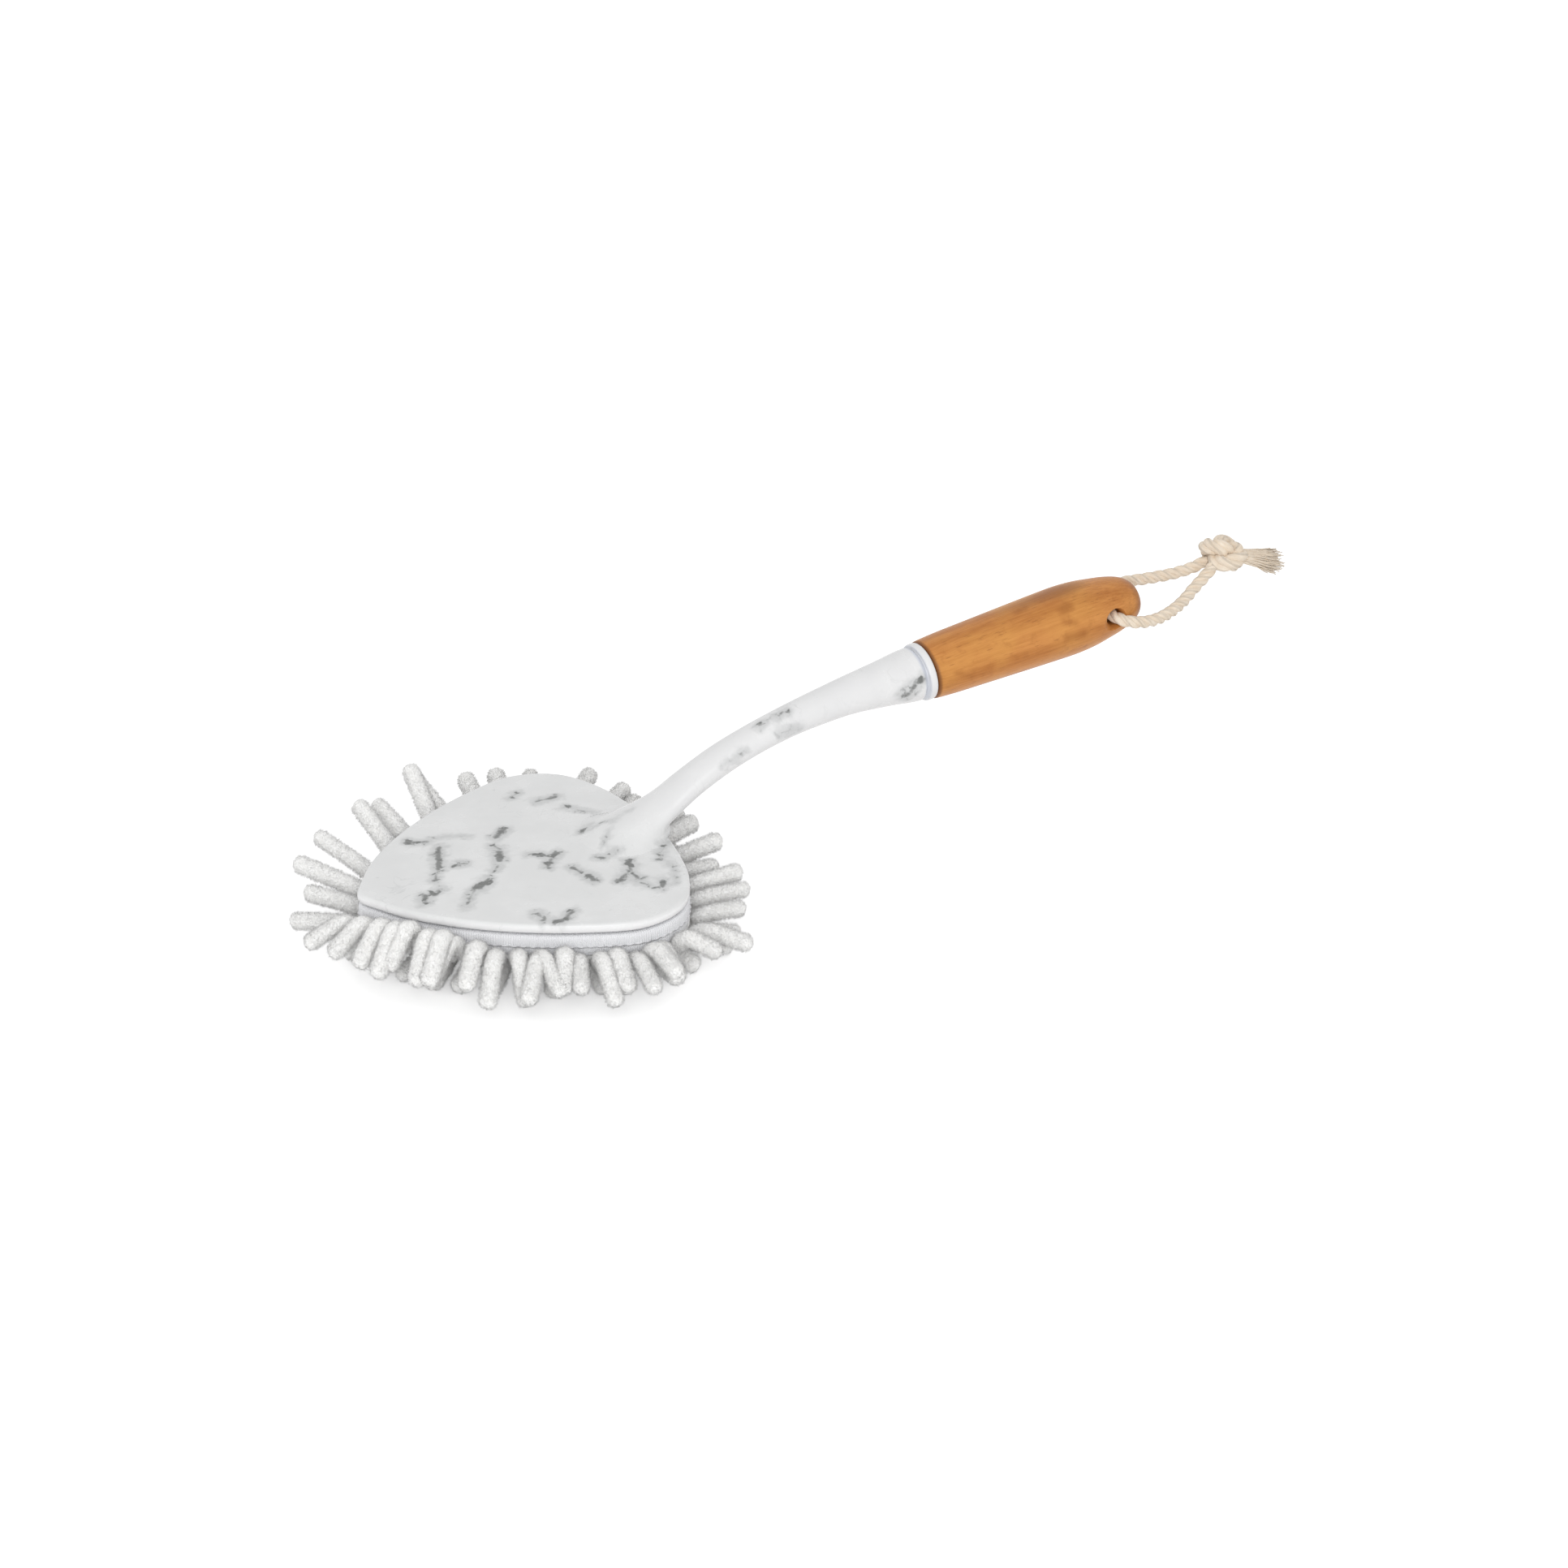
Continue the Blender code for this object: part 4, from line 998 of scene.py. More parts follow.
def ribbed(finish, place):
    """Knit: ribs across the band on its own map."""
    along, around, _ = finish.parts(finish.on_surface())
    wavering = (around * (TAU / (0.7 * MM))).wave() * 0.8
    ribs = (along * (TAU / (0.9 * MM)) + wavering).wave() * 0.5 + 0.5
    return ribs * 0.5 + finish.noise(place, 140, detail=2) * 0.5, ribs


def porous(finish, place):
    """Open-cell foam: pores of about a millimetre."""
    pores = finish.cells(place, 900).step(0.15, 0.5)
    return pores, pores


base_weave = plain_weave("base_cloth", BASE_WHITE, 0.9 * MM, 0.12 * MM)
loop_tints = ((0.66, 0.66, 0.66), (0.86, 0.86, 0.86))
loop_weave = soft_finish("loop_cloth", 1.0, loop_tints, 0.4 * MM, curled, 0.5, 0.6)
band_tints = ((0.94, 0.945, 0.98), (0.975, 0.98, 1.0))
band_knit = soft_finish("knit_band", 0.9, band_tints, 0.25 * MM, ribbed, 0.35)
foam_tints = ((0.55, 0.55, 0.52), (0.80, 0.80, 0.77))
foam = soft_finish("white_foam", 1.0, foam_tints, 0.5 * MM, porous)
print("cloth finishes:", [material.name for material in (base_weave, loop_weave, band_knit, foam)])

# %% Crowned layers
BULGE = 0.12 * MM
QUILT_PITCH = 31 * MM


def crowned_layer(name, node, material, slot):
    """A flat closed layer with the outline's shape that swells in its middle.

    A ring of a face lies at the share s of the way from the centre to the edge, and is
    raised by the bulge times (1 - s^2) (3 + q) / 4, where the quilt q is a product of two sines.
    """
    low, high = (np.array(corner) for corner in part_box(node))
    count, steps = 160, 26
    inset = (head_width - (high[1] - low[1])) / 2
    edge = outline(inset, count)
    share = np.linspace(0.01, 1, steps)[:, None]
    flat = head_centre + (edge - head_centre) * share[..., None]
    quilt = np.sin(flat[..., 0] * TAU / QUILT_PITCH) * np.sin(flat[..., 1] * TAU / QUILT_PITCH)
    rise = BULGE * (1 - share**2) * (0.75 + 0.25 * quilt)
    top = np.dstack([flat, high[2] + rise])
    bottom = np.dstack([flat, low[2] - rise])[::-1]
    points = np.concatenate([top, bottom])[None]
    piece = tube_piece(name, points, material, slot)
    stand_for(piece, node, "pad")
    print(name, "is", round((high[2] - low[2]) / MM, 2), "mm thick at its edge")
    return piece


crowned_layer("loop_cloth", "pad_loop_cloth", loop_weave, "white_cloth")
core = crowned_layer("foam_core", "pad_foam_core", foam, "white_foam")
crowned_layer("base_cloth", "pad_base_cloth", base_weave, "white_cloth")

# %% [markdown]
# The band is a strip of knit folded over the pad's edge. Its cross-section is a soft "C",
# carried round the outline, with slight puckers where the stitches pull it in.

# %% The band
BAND_WALL = 1.2 * MM
BAND_LIP_WIDTH = 4.8 * MM
BAND_LIP = 0.7 * MM
STITCH_PITCH = 3.4 * MM
PUCKER = 0.12 * MM


def band_section():
    """(inset, height) points round the band's cross-section, as a closed smooth line."""
    low, high = band_low[2], band_high[2]
    bend = 0.6 * MM
    half = (
        (0.10 * MM, 1.8 * MM), (0.45 * MM, 0.5 * MM), (1.3 * MM, 0),
        (BAND_LIP_WIDTH - bend, 0), (BAND_LIP_WIDTH, BAND_LIP / 2),
        (BAND_LIP_WIDTH - bend, BAND_LIP), (BAND_WALL + bend, BAND_LIP),
        (BAND_WALL, BAND_LIP + bend),
    )
    upper = [(inset, high - depth) for inset, depth in half]
    lower = [(inset, low + depth) for inset, depth in half[::-1]]
    knots = [(0, (low + high) / 2), *upper, *lower]
    return smooth_line(np.array(knots), 48, closed=True, space=2)


section = band_section()
count = 640
edge = outline(0, count)
out = outwards(edge)
along = length_of(edge) * np.arange(count) / count
pucker = PUCKER * (0.5 + 0.5 * np.cos(TAU * along / STITCH_PITCH))
pucker *= 1 + 0.3 * np.sin(along * 90)
band_middle = (band_low[2] + band_high[2]) / 2
stations = []
for inset, z in section:
    pull = pucker * math.exp(-(((z - band_middle) / (2.2 * MM)) ** 2))
    line = edge - out * (inset + np.where(inset < 1 * MM, pull, 0))[:, None]
    stations.append(ring_at(line, z))
rings = np.stack(stations, axis=1)
faces = [tube_faces(1, *rings.shape[:2], closed=True)]
band = new_piece("knit_edge_band", rings, faces, band_knit, "pale_band")
grid_along, grid_around = np.meshgrid(along, run_of(section), indexing="ij")
add_map(band, grid_along, grid_around)
stand_for(band, "pad_edge_band", "pad")
print("band, mm round:", round(length_of(edge) / MM))

# %% The band's stitches
STITCH_INSET = 0.05 * MM
STITCH_ARCH = 0.22 * MM
THREAD_RADIUS = 0.24 * MM
THREAD_SHARES = np.array([0.5, 0.9, 1, 1, 1, 0.9, 0.5])
THREAD_SIDES = 6


def stitches(z, fine=1200):
    """Short threads that lie on the band's outside, each a bent capsule.

    A thread covers part of its pitch and stands off by a half sine of the way along it.
    """
    number = round(length_of(outline(STITCH_INSET, 400)) / STITCH_PITCH)
    knots = len(THREAD_SHARES)
    share = (np.arange(number)[:, None] + np.linspace(0.12, 0.70, knots)[None]) / number
    edge = outline(STITCH_INSET, fine)
    flat = [np.interp(share * fine, np.arange(fine), edge[:, axis]) for axis in (0, 1)]
    flat = np.stack(flat, axis=-1)
    arch = STITCH_ARCH * np.sin(np.linspace(0, math.pi, knots))
    flat = flat + unit(flat - head_centre) * arch[None, :, None]
    lines = np.concatenate([flat, np.full((*share.shape, 1), z)], axis=-1)
    return sweep(lines, level, THREAD_RADIUS * THREAD_SHARES[None, :, None], THREAD_SIDES)


thread = plain_weave("white_thread", THREAD_WHITE, 0.4 * MM, 0.05 * MM)
stitch_rings = stitches(band_middle)
seam = tube_piece("band_stitches", stitch_rings, thread, "pale_band")
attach(seam, "pad")
print("stitches:", len(stitch_rings))

# %% [markdown]
# ## The moulded head
#
# Plate and neck are one moulding. The plate has a rounded rim. The neck starts wide and
# flat on the plate, narrows, climbs in an S, and swells to a round collar with a bead.
# Where it meets the plate, the mould has a fillet. A point of the neck that lies h above
# the plate is moved sideways by F - sqrt(F^2 - (F - h)^2), which is a quarter circle of
# radius F that ends level with the plate.
#
# The marble pattern is a print. Its dark veins come from strokes read off the photograph.
# Each point of the mesh stores its distance to the nearest stroke, and the finish turns
# that distance, roughened by noise, into a vein with a soft edge.

# %% Neck shape
NECK_LENGTH = 112.9 * MM
NECK_RISE = 40.3 * MM
COLLAR_WIDTH = 24.2 * MM
COLLAR_DEPTH = 22.5 * MM
GRIP_PITCH = math.radians(7.8)
BEAD_LENGTH = 3.0 * MM
BEAD_ROUND = 0.6 * MM
COVE_WIDTH = 1.9 * MM
COVE_DEPTH = 1.3 * MM
FILLET = 5.0 * MM
RIM_RADIUS = 1.6 * MM
NECK_STATIONS = 330
ROOT_STATIONS = 132
# Along the neck: shares of its length, of its rise, and of the collar's width and depth.
NECK_SHARES = np.array(
    (
        (-0.266, -0.238, 1.157, 0.444), (-0.190, -0.114, 1.302, 0.604),
        (-0.102, 0.015, 1.095, 0.587), (-0.031, 0.117, 0.876, 0.498),
        (0.028, 0.211, 0.752, 0.453), (0.119, 0.372, 0.661, 0.462),
        (0.224, 0.526, 0.612, 0.484), (0.329, 0.645, 0.587, 0.489),
        (0.436, 0.742, 0.587, 0.502), (0.543, 0.819, 0.607, 0.538),
        (0.699, 0.906, 0.678, 0.631), (0.845, 0.955, 0.810, 0.787),
        (0.912, 0.974, 0.893, 0.884), (0.953, 0.985, 0.926, 0.924),
    )
)
seam_centre = np.array([rear + NECK_LENGTH, middle, plate_top + NECK_RISE])
grip_line = np.array([math.cos(GRIP_PITCH), 0, math.sin(GRIP_PITCH)])
print("neck and grip meet at", seam_centre.round(4))


def oval_rings(centres, directions, widths, depths, sides):
    """Oval rings about centres, square to directions that have no y part.

    A ring's point at angle a is centre + w/2 cos(a) y + d/2 sin(a) z, where y is the y
    axis, z is square to it and to the direction, w is the width and d the depth.
    """
    lift = np.stack([-directions[:, 2], np.zeros(len(directions)), directions[:, 0]], axis=1)
    angle = TAU * np.arange(sides) / sides
    y = np.cos(angle) * widths[:, None] / 2
    up = np.sin(angle) * depths[:, None] / 2
    return centres[:, None] + y[..., None] * np.array([0, 1, 0]) + up[..., None] * lift[:, None]


def neck_surface(sides=72):
    """The neck's rings: from inside the plate to the collar, a cove, the bead's round edge.

    The cove narrows the neck by a bell curve of the distance to the bead.
    """
    table = NECK_SHARES * (NECK_LENGTH, NECK_RISE, COLLAR_WIDTH, COLLAR_DEPTH)
    bead = seam_centre - grip_line * BEAD_LENGTH
    last = np.array([bead[0] - rear, bead[2] - plate_top, table[-1, 2], table[-1, 3]])
    x, z, width, depth = smooth_line(np.vstack([table, last]), NECK_STATIONS, space=2).T
    centres = np.stack([rear + x, np.full(len(x), middle), plate_top + z], axis=1)
    before_bead = (bead - centres) @ grip_line
    cove = 2 * COVE_DEPTH * np.exp(-(((before_bead - 0.4 * MM) / (COVE_WIDTH / 2)) ** 2))
    directions = unit(np.gradient(centres, axis=0))
    rings = oval_rings(centres, directions, width - cove, depth - cove, sides)
    above = np.clip(rings[..., 2] - plate_top, 0, FILLET)
    push = FILLET - np.sqrt(FILLET**2 - (FILLET - above) ** 2)
    push = np.where(rings[..., 2] < plate_top, FILLET, push)
    away = rings - centres[:, None]
    away[..., 2] = 0
    away /= np.maximum(np.linalg.norm(away, axis=-1, keepdims=True), MM / 10)
    near_root = (np.arange(NECK_STATIONS) < ROOT_STATIONS)[:, None]
    rings += away * (push * near_root)[..., None]
    turn = np.linspace(-math.pi / 2, math.pi / 2, 9)
    back = BEAD_LENGTH / 2 + (BEAD_LENGTH / 2) * np.sin(turn)
    slim = 2 * BEAD_ROUND * (1 - np.cos(turn) ** 0.6)
    places = bead + back[:, None] * grip_line
    directions = np.tile(grip_line, (len(turn), 1))
    bead_rings = oval_rings(places, directions, COLLAR_WIDTH - slim, COLLAR_DEPTH - slim, sides)
    return np.concatenate([rings, bead_rings])[None]


def plate_surface(count=420):
    """The plate: flat faces in rings about the centre, and a rim that is a half oval.

    The rim's ring at angle a, from -90 to 90 degrees, is inset by r (1 - cos(a)^0.75) and
    lies half the thickness times sin(a)^0.85 above or below the plate's middle.
    """
    angle = np.linspace(-math.pi / 2, math.pi / 2, 15)
    inset = RIM_RADIUS * (1 - np.cos(angle) ** 0.75)
    rise = PLATE_THICKNESS / 2 * np.sign(angle) * np.abs(np.sin(angle)) ** 0.85
    height = (plate_top + plate_bottom) / 2 + rise
    rim = [ring_at(outline(i, count), z) for i, z in zip(inset, height)]
    inner = outline(RIM_RADIUS, count)
    faces = []
    for rings, z in ((12, plate_bottom), (90, plate_top)):
        share = np.linspace(0.01, 1, rings, endpoint=False)[:, None, None]
        flat = head_centre + (inner - head_centre) * share
        faces.append(np.dstack([flat, np.full(flat.shape[:2], z)]))
    return np.concatenate([faces[0], np.array(rim), faces[1][::-1]])[None]


# %% Veins read off the photograph
# Half a vein's width in mm, where a faint one is below 0, and the pixels along it.
PLATE_VEINS = (
    (1.0, (503, 1037), (514, 1038), (526, 1037)), (-0.5, (536, 1033), (552, 1031), (580, 1030)),
    (1.2, (541, 1044), (540, 1060), (541, 1071)), (0.4, (538, 1076), (536, 1086)),
    (0.9, (545, 1095), (533, 1100)), (1.1, (524, 1104), (523, 1112)),
    (0.7, (561, 1066), (571, 1064)), (1.2, (622, 1022), (611, 1032)),
    (0.8, (608, 1042), (616, 1046)), (1.3, (615, 1050), (615, 1061)),
    (0.4, (614, 1066), (609, 1073)), (1.4, (602, 1083), (592, 1094)),
    (0.3, (586, 1094), (573, 1118)), (0.6, (629, 982), (637, 978)),
    (0.8, (660, 988), (671, 985), (684, 982)), (0.5, (698, 994), (712, 998), (729, 1000)),
    (0.6, (717, 1025), (727, 1019)), (1.0, (667, 1053), (678, 1056), (687, 1051)),
    (0.9, (679, 1058), (675, 1068)), (0.4, (652, 1052), (662, 1053)),
    (0.9, (705, 1069), (716, 1075)), (1.2, (724, 1078), (732, 1084)),
    (0.6, (736, 1057), (744, 1057)), (1.2, (774, 1061), (777, 1073)),
    (0.9, (773, 1076), (763, 1085)), (0.8, (779, 1076), (787, 1082)),
    (0.4, (789, 1087), (806, 1093)), (1.0, (817, 1084), (816, 1093)),
    (0.6, (662, 1125), (673, 1134)), (0.9, (682, 1134), (694, 1134), (706, 1123)),
    # The two strokes behind the neck's root, from pixel 834, 1030 to 832, 1087, are partly print
    # and partly painted shadow of the neck on the plate's rear edge.
    (0.3, (834, 1030), (818, 1042), (813, 1057)), (-0.2, (822, 1062), (832, 1074), (832, 1087)),
    (0.5, (757, 1049), (751, 1052)),
)
NECK_VEINS = (
    (0.5, (968, 872), (957, 879)), (0.2, (942, 887), (934, 889)), (0.1, (987, 899), (966, 907)),
    # The strokes from pixel 1140, 839 to 1119, 860 lie in the cove by the bead and darken its lower
    # end.
    (-0.9, (925, 925), (897, 944)), (0.1, (1140, 839), (1134, 845)),
    (1.4, (1131, 849), (1119, 860)), (-1.0, (722, 1021), (741, 1010), (760, 1005)),
    (-1.1, (762, 1004), (776, 992)), (-0.9, (750, 1020), (745, 1036)),
)
NEAR_PIXELS = 5


def seen_at(pixels, points):
    """The points of a surface that show at pixels.

    A point p shows f (p - eye).right / depth to the right of the picture's middle and
    f (p - eye).up / depth above it. Of the points close to a pixel, the one nearest to
    the eye is taken.
    """
    away = points - eye
    depth = -(away @ backwards)
    x = IMAGE_SIZE / 2 + FOCAL_PIXELS * (away @ rightwards) / depth
    y = IMAGE_SIZE / 2 - FOCAL_PIXELS * (away @ upwards) / depth
    found = []
    for column, row in pixels:
        close = np.hypot(x - column, y - row) < NEAR_PIXELS
        found.append(points[close][depth[close].argmin()])
    return np.array(found)


def distance_to_strokes(points, strokes):
    """The distance from each point to the nearest stroke, less that stroke's half width.

    On a segment from a to b, the nearest place is a + t (b - a), with
    t = (p - a).(b - a) / |b - a|^2 kept within 0 and 1.
    """
    nearest = np.full(len(points), 50 * MM)
    for half_width, line in strokes:
        for a, b in zip(line, line[1:]):
            span = b - a
            t = np.clip((points - a) @ span / (span @ span), 0, 1)
            away = np.linalg.norm(points - a - t[:, None] * span, axis=1)
            nearest = np.minimum(nearest, away - half_width * MM)
    return nearest


neck_rings = neck_surface()
plate_rings = plate_surface()
strokes = [(half_width, behind_pixels(pixels, plate_top)) for half_width, *pixels in PLATE_VEINS]
neck_points = neck_rings.reshape(-1, 3)
strokes += [(half_width, seen_at(pixels, neck_points)) for half_width, *pixels in NECK_VEINS]
print("strokes:", len(strokes))

# %% Marble print


def marble_finish():
    """Printed marble under gloss: grey clouds, and veins that break up into dark flakes.

    The nearer a stroke, the more of a fine noise's peaks turn dark.
    """
    finish = Finish("marble_print", 0.25, Specular_IOR_Level=0.4)
    place = finish.place()
    ragged = finish.noise(place, 220, detail=2, rough=0.5) - 0.5
    distance = finish.number("vein_distance") * 1000 + ragged * 3.2
    near = distance.step(2.4, -1.0)
    flakes = finish.noise(place, 320, detail=2, rough=0.5, warp=0.3)
    dark = (flakes + near * 0.18).step(0.61, 0.80) * distance.step(3.0, 0.6)
    dark = dark.most(distance.step(0.3, -0.9) * 0.9)
    smoke = (flakes * 0.7 + distance.step(5.5, -0.5) * 0.6).step(0.42, 0.95)
    fine = finish.noise(place, 62, detail=6, rough=0.55, warp=1.2)
    hair = (fine - 0.5).size().step(0.014, 0.002) * finish.noise(place, 40).step(0.54, 0.70)
    specks = flakes.step(0.70, 0.76) * finish.noise(place, 60).step(0.50, 0.66)
    clouds = finish.noise(place, 48, detail=4, rough=0.6).step(0.35, 0.75)
    _, _, z = finish.parts(place)
    risen = z.step(plate_top + 1 * MM, plate_top + 14 * MM)
    ground = finish.mix(clouds, (0.745, 0.75, 0.75), (0.80, 0.805, 0.805))
    # Painted highlight: the rounded rim, just below the plate's top, is painted paler where its
    # edge catches the light.
    rim = z.step(plate_top - 0.3 * MM, plate_top - 1.3 * MM)
    pale = finish.mix(clouds, (0.765, 0.765, 0.77), (0.81, 0.81, 0.81))
    ground = finish.mix(risen, ground, pale)
    ground = finish.mix(rim, ground, (0.88, 0.88, 0.885))
    # Painted shade: a blue-grey band is painted into the cove before the bead, where its shade
    # falls.
    along, _, _ = finish.parts(finish.place(tuple(seam_centre), (0, -GRIP_PITCH, 0)))
    cove = (along + BEAD_LENGTH + COVE_WIDTH / 2).size().step(1.7 * MM, 0.5 * MM)
    ground = finish.mix(cove * 0.55, ground, (0.56, 0.60, 0.70))
    shade = (smoke * 0.40 + hair * 0.20 + specks * 0.3).least(1)
    printed = finish.mix(shade, ground, (0.34, 0.35, 0.35))
    finish.colour(finish.mix(dark * 0.86, printed, (0.10, 0.105, 0.10)))
    finish.roughness(0.24 + clouds * 0.06)
    return finish.material


points, faces = join_arrays([closed_tubes(plate_rings), closed_tubes(neck_rings)])
head = new_piece("moulded_head", points, faces, marble_finish(), "marble_print_plastic")
add_number(head, "vein_distance", distance_to_strokes(points, strokes))
stand_for(head, "head_shell", "head")
print("head points:", len(points))

# %% [markdown]
# ## Hook tape
#
# Three strips of hook tape are glued under the plate. They stay the CAD's own solids. Their
# finish shows the hooks as rows of tiny pegs.

# %% Hook tape finish


def pegged(finish, place):
    """Hooks in a square grid, 1.2 mm apart."""
    x, y, _ = finish.parts(place)
    turns = TAU / (1.2 * MM)
    pegs = ((x * turns).wave() * (y * turns).wave()).step(0.25, 0.9)
    return pegs, pegs


hook_tints = ((0.62, 0.62, 0.61), (0.86, 0.86, 0.85))
hooks = soft_finish("hook_tape", 0.55, hook_tints, 0.5 * MM, pegged)
strips = [frame["nodes"]["hook_tape_" + side] for side in ("left", "centre", "right")]
for strip in strips:
    strip.data.materials.clear()
    strip.data.materials.append(hooks)
print("hook tape:", len(strips), "strips")

# %% [markdown]
# ## Bamboo grip
#
# The grip is turned from laminated bamboo and a little wider than high. It swells towards
# its rounded end, and the rope's cross hole has flared mouths. Bamboo shows long straight
# fibres, fine dark flecks along them and wide soft bands where strips meet. The varnish
# gives a broad satin light, and both ends are darker, where end grain drinks more.

# %% Grip shape
GRIP_LENGTH = 95.8 * MM
GRIP_WIDTH = 30.0 * MM
GRIP_DEPTH = 27.3 * MM
HOLE_RADIUS = 3.4 * MM
HOLE_FLARE = 1.8 * MM
CUTTER_STATIONS = 61
GRIP_PROFILE = np.array(
    (
        (0.0, 0.810), (0.012, 0.838), (0.10, 0.880), (0.24, 0.915), (0.42, 0.958),
        (0.58, 0.992), (0.67, 1.0), (0.75, 0.965), (0.82, 0.892), (0.885, 0.810),
        (0.942, 0.690), (0.981, 0.520), (1.0, 0.300),
    )
)
grip_start = seam_centre + grip_line * GAP
print("grip starts at", grip_start.round(4))


def grip_surface(stations=120, sides=96):
    """The grip's oval rings, closed over the rounded end.

    The profile is a smooth line that gives half the depth at each distance. The width
    keeps the same proportion to the depth everywhere.
    """
    share, radius = smooth_line(GRIP_PROFILE * (GRIP_LENGTH, GRIP_DEPTH / 2), stations, space=2).T
    front = np.array([[0.0, 0.92 * radius[0]]])
    end = np.array([[GRIP_LENGTH, 0.10 * radius.max()]])
    table = np.vstack([front, np.column_stack([share, radius]), end])
    table[1, 0] = 0.25 * MM
    centres = grip_start + table[:, :1] * grip_line
    wide = 2 * table[:, 1]
    directions = np.tile(grip_line, (len(table), 1))
    return oval_rings(centres, directions, wide * GRIP_WIDTH / GRIP_DEPTH, wide, sides)[None]


def hole_cutter(sides=64):
    """The cross hole, whose mouths widen.

    Its radius is R + F t^2, where F is the flare and t is 0 in the middle, starts to grow
    2 F before the grip's side and is 1 there.
    """
    half = GRIP_WIDTH / 2 + 2 * MM
    y = np.linspace(-half, half, CUTTER_STATIONS)
    side = GRIP_WIDTH / 2 * 0.875
    opened = np.clip((np.abs(y) - (side - 2 * HOLE_FLARE)) / (2 * HOLE_FLARE), 0, 3)
    radius = HOLE_RADIUS + HOLE_FLARE * opened**2
    x, z = (np.full(CUTTER_STATIONS, hole[axis]) for axis in (0, 2))
    centres = np.column_stack([x, middle + y, z])
    return sweep(centres[None], level, radius[None, :, None], sides)


# %% Bamboo finish


def bamboo_finish():
    """Varnished bamboo in coordinates that run along the grip."""
    varnish = {"Specular_IOR_Level": 0.2, "Coat_Weight": 0.04, "Coat_Roughness": 0.25}
    finish = Finish("varnished_bamboo", 0.42, **varnish)
    place = finish.place(tuple(grip_start), (0, -GRIP_PITCH, 0))
    along, _, up = finish.parts(place)
    stretched = finish.scaled(place, (1, 22, 22))
    fibres = finish.noise(stretched, 70, detail=6, rough=0.65, warp=0.15)
    bands = finish.noise(stretched, 9, detail=3, rough=0.5)
    flecks = finish.cells(finish.scaled(place, (1, 9, 9)), 150).step(0.30, 0.10)
    flecks = flecks * finish.noise(stretched, 30).step(0.42, 0.60)
    blotches = finish.noise(place, 48, detail=3)
    tone = (fibres * 0.45 + bands * 0.55).step(0.30, 0.72)
    wood = finish.mix(tone, (0.42, 0.148, 0.030), (0.65, 0.280, 0.078))
    wood = finish.mix(blotches.step(0.45, 0.75) * 0.45, wood, (0.70, 0.34, 0.085))
    mottle = finish.noise(place, 260, detail=4, rough=0.6)
    wood = finish.mix(mottle.step(0.52, 0.72) * 0.30, wood, (0.36, 0.125, 0.028))
    wood = finish.mix(flecks * 0.45, wood, (0.20, 0.060, 0.014))
    spot_distance = finish.number("spot_distance") * 1000
    spots = (spot_distance + (blotches - 0.5) * 3).step(2.0, -2.0)
    wood = finish.mix(spots * 0.50, wood, (0.30, 0.095, 0.016))
    # Painted shade: a darker band along the grip's top edge, where the light falls off.
    top = up.step(12.4 * MM, 13.7 * MM) * 0.6
    wood = finish.mix(top, wood, (0.22, 0.075, 0.020))
    front = along.step(1.6 * MM, 0.2 * MM)
    end = along.step(GRIP_LENGTH - 7 * MM, GRIP_LENGTH - 0.5 * MM)
    finish.colour(finish.mix((front * 0.75 + end * 0.45).least(1), wood, (0.12, 0.040, 0.015)))
    finish.roughness(0.32 + fibres * 0.12)
    finish.relief(fibres * 0.8 + flecks * 0.2, 0.10 * MM)
    return finish.material


# %% Turned, then bored


def bored(name, rings, cutter_rings, material, slot):
    """A piece with a hole, cut by an exact Boolean that is applied at once."""
    piece = tube_piece(name, rings, material, slot)
    cutter = tube_piece(name + "_cutter", cutter_rings, material, slot)
    for each in (piece, cutter):
        weld = each.modifiers.new("One point each", "WELD")
        weld.merge_threshold = MM / 1000
    cut = piece.modifiers.new("Cross hole", "BOOLEAN")
    cut.operation = "DIFFERENCE"
    cut.solver = "EXACT"
    cut.object = cutter
    graph = bpy.context.evaluated_depsgraph_get()
    made = bpy.data.meshes.new_from_object(piece.evaluated_get(graph))
    piece.modifiers.clear()
    piece.data = made
    bpy.data.objects.remove(cutter, do_unlink=True)
    made.shade_smooth()
    made.set_sharp_from_angle(angle=math.radians(40))
    return piece


# Brown spots of the wood: a radius in mm, then the pixels between which each lies.
GRIP_SPOTS = (
    (2.4, (1311, 747), (1316, 743)), (2.0, (1318, 790), (1338, 784)),
    (1.2, (1316, 768), (1330, 768)), (0.8, (1182, 832), (1200, 836)),
    (1.0, (1252, 750), (1262, 748)),
)
grip = bored("bamboo_grip", grip_surface(), hole_cutter(), bamboo_finish(), "varnished_bamboo")
grip_points = np.empty(3 * len(grip.data.vertices))
grip.data.vertices.foreach_get("co", grip_points)
grip_points = grip_points.reshape(-1, 3)
spot_strokes = [(radius, seen_at(pixels, grip_points)) for radius, *pixels in GRIP_SPOTS]
add_number(grip, "spot_distance", distance_to_strokes(grip_points, spot_strokes))
stand_for(grip, "bamboo_handle", "head")
print("grip faces:", len(grip.data.polygons))

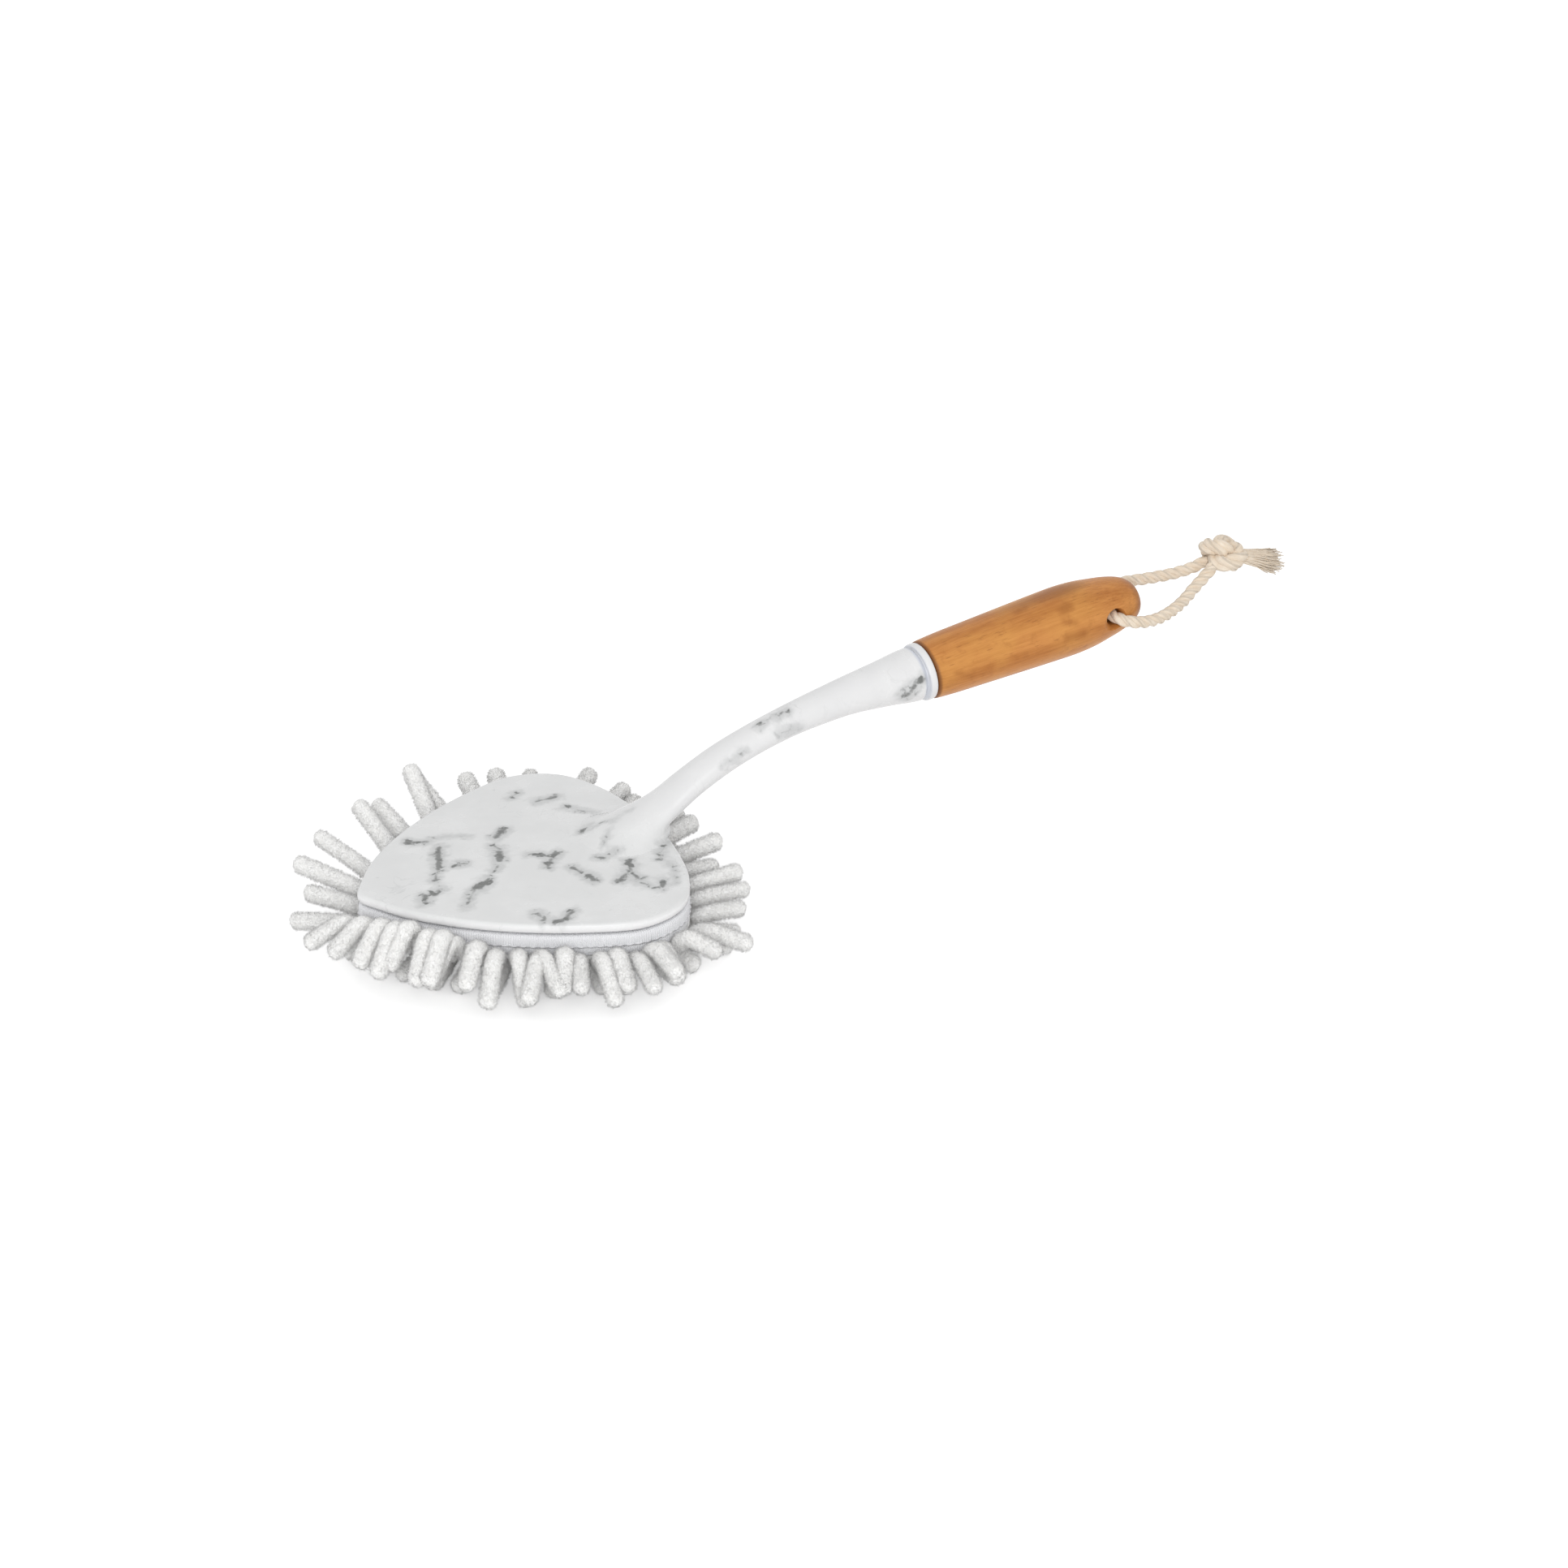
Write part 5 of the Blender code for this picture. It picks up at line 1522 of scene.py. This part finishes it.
# %% [markdown]
# ## Ground and light
#
# The photograph has a pure white ground and very soft light. The ground is a wide pale
# sheet. For rays that come from the camera or from a reflection it glows a little, most
# far away, so it renders white and still takes the duster's shadow. One large soft lamp
# stands on the camera's side and a little higher, and the white room does the rest.

# %% Ground
GROUND_REACH = 6.0


def ground_finish():
    finish = Finish("ground", 1.0, Specular_IOR_Level=0, Emission_Strength=1)
    finish.colour((0.86, 0.86, 0.86))
    x, y, _ = finish.parts(finish.place())
    far = (x * x + y * y).step(0.3, 3.0)
    glow = finish.mix(far, (0.45, 0.45, 0.45), (0.62, 0.62, 0.62))
    glow = finish.mix(finish.plainly_seen(), (0, 0, 0), glow)
    finish.fill(finish.shader.inputs["Emission Color"], glow)
    return finish.material


ground_mesh = bpy.data.meshes.new("ground")
corners = np.array([(-1, -1, 0), (1, -1, 0), (1, 1, 0), (-1, 1, 0)]) * GROUND_REACH
ground_mesh.from_pydata(corners.tolist(), [], [(0, 1, 2, 3)])
ground_mesh.materials.append(ground_finish())
ground = put("ground", ground_mesh)
print("ground, m across:", 2 * GROUND_REACH)

# %% Light
LAMP_DISTANCE = 1.5
LAMP_SIDE = np.array([-0.42, -0.80, 0.46])
LAMP_SIZE = 1.1
LAMP_POWER = 8.0
# The white room's brightness, as it lights the duster and as it is seen.
ROOM_LIGHT = 0.76
ROOM_SEEN = 1.0

lamp = bpy.data.lights.new("key", "AREA")
lamp.shape = "DISK"
lamp.size = LAMP_SIZE
lamp.energy = LAMP_POWER
key = put("key", lamp)
lamp_place = aim + LAMP_DISTANCE * unit(LAMP_SIDE)
away = unit(lamp_place - aim)
key.location = lamp_place
key.rotation_euler = (math.acos(away[2]), 0, math.atan2(away[1], away[0]) + math.pi / 2)

world = bpy.data.worlds.new("world")
world.use_nodes = True
scene.world = world
room = Tree(world.node_tree)
light = room.node("ShaderNodeMapRange", {}, room.plainly_seen(), 0, 1, ROOM_LIGHT, ROOM_SEEN)
background = world.node_tree.nodes["Background"]
room.fill(background.inputs["Strength"], light)
room.fill(background.inputs["Color"], (1, 1, 1))
print("lamp stands at", lamp_place.round(2))
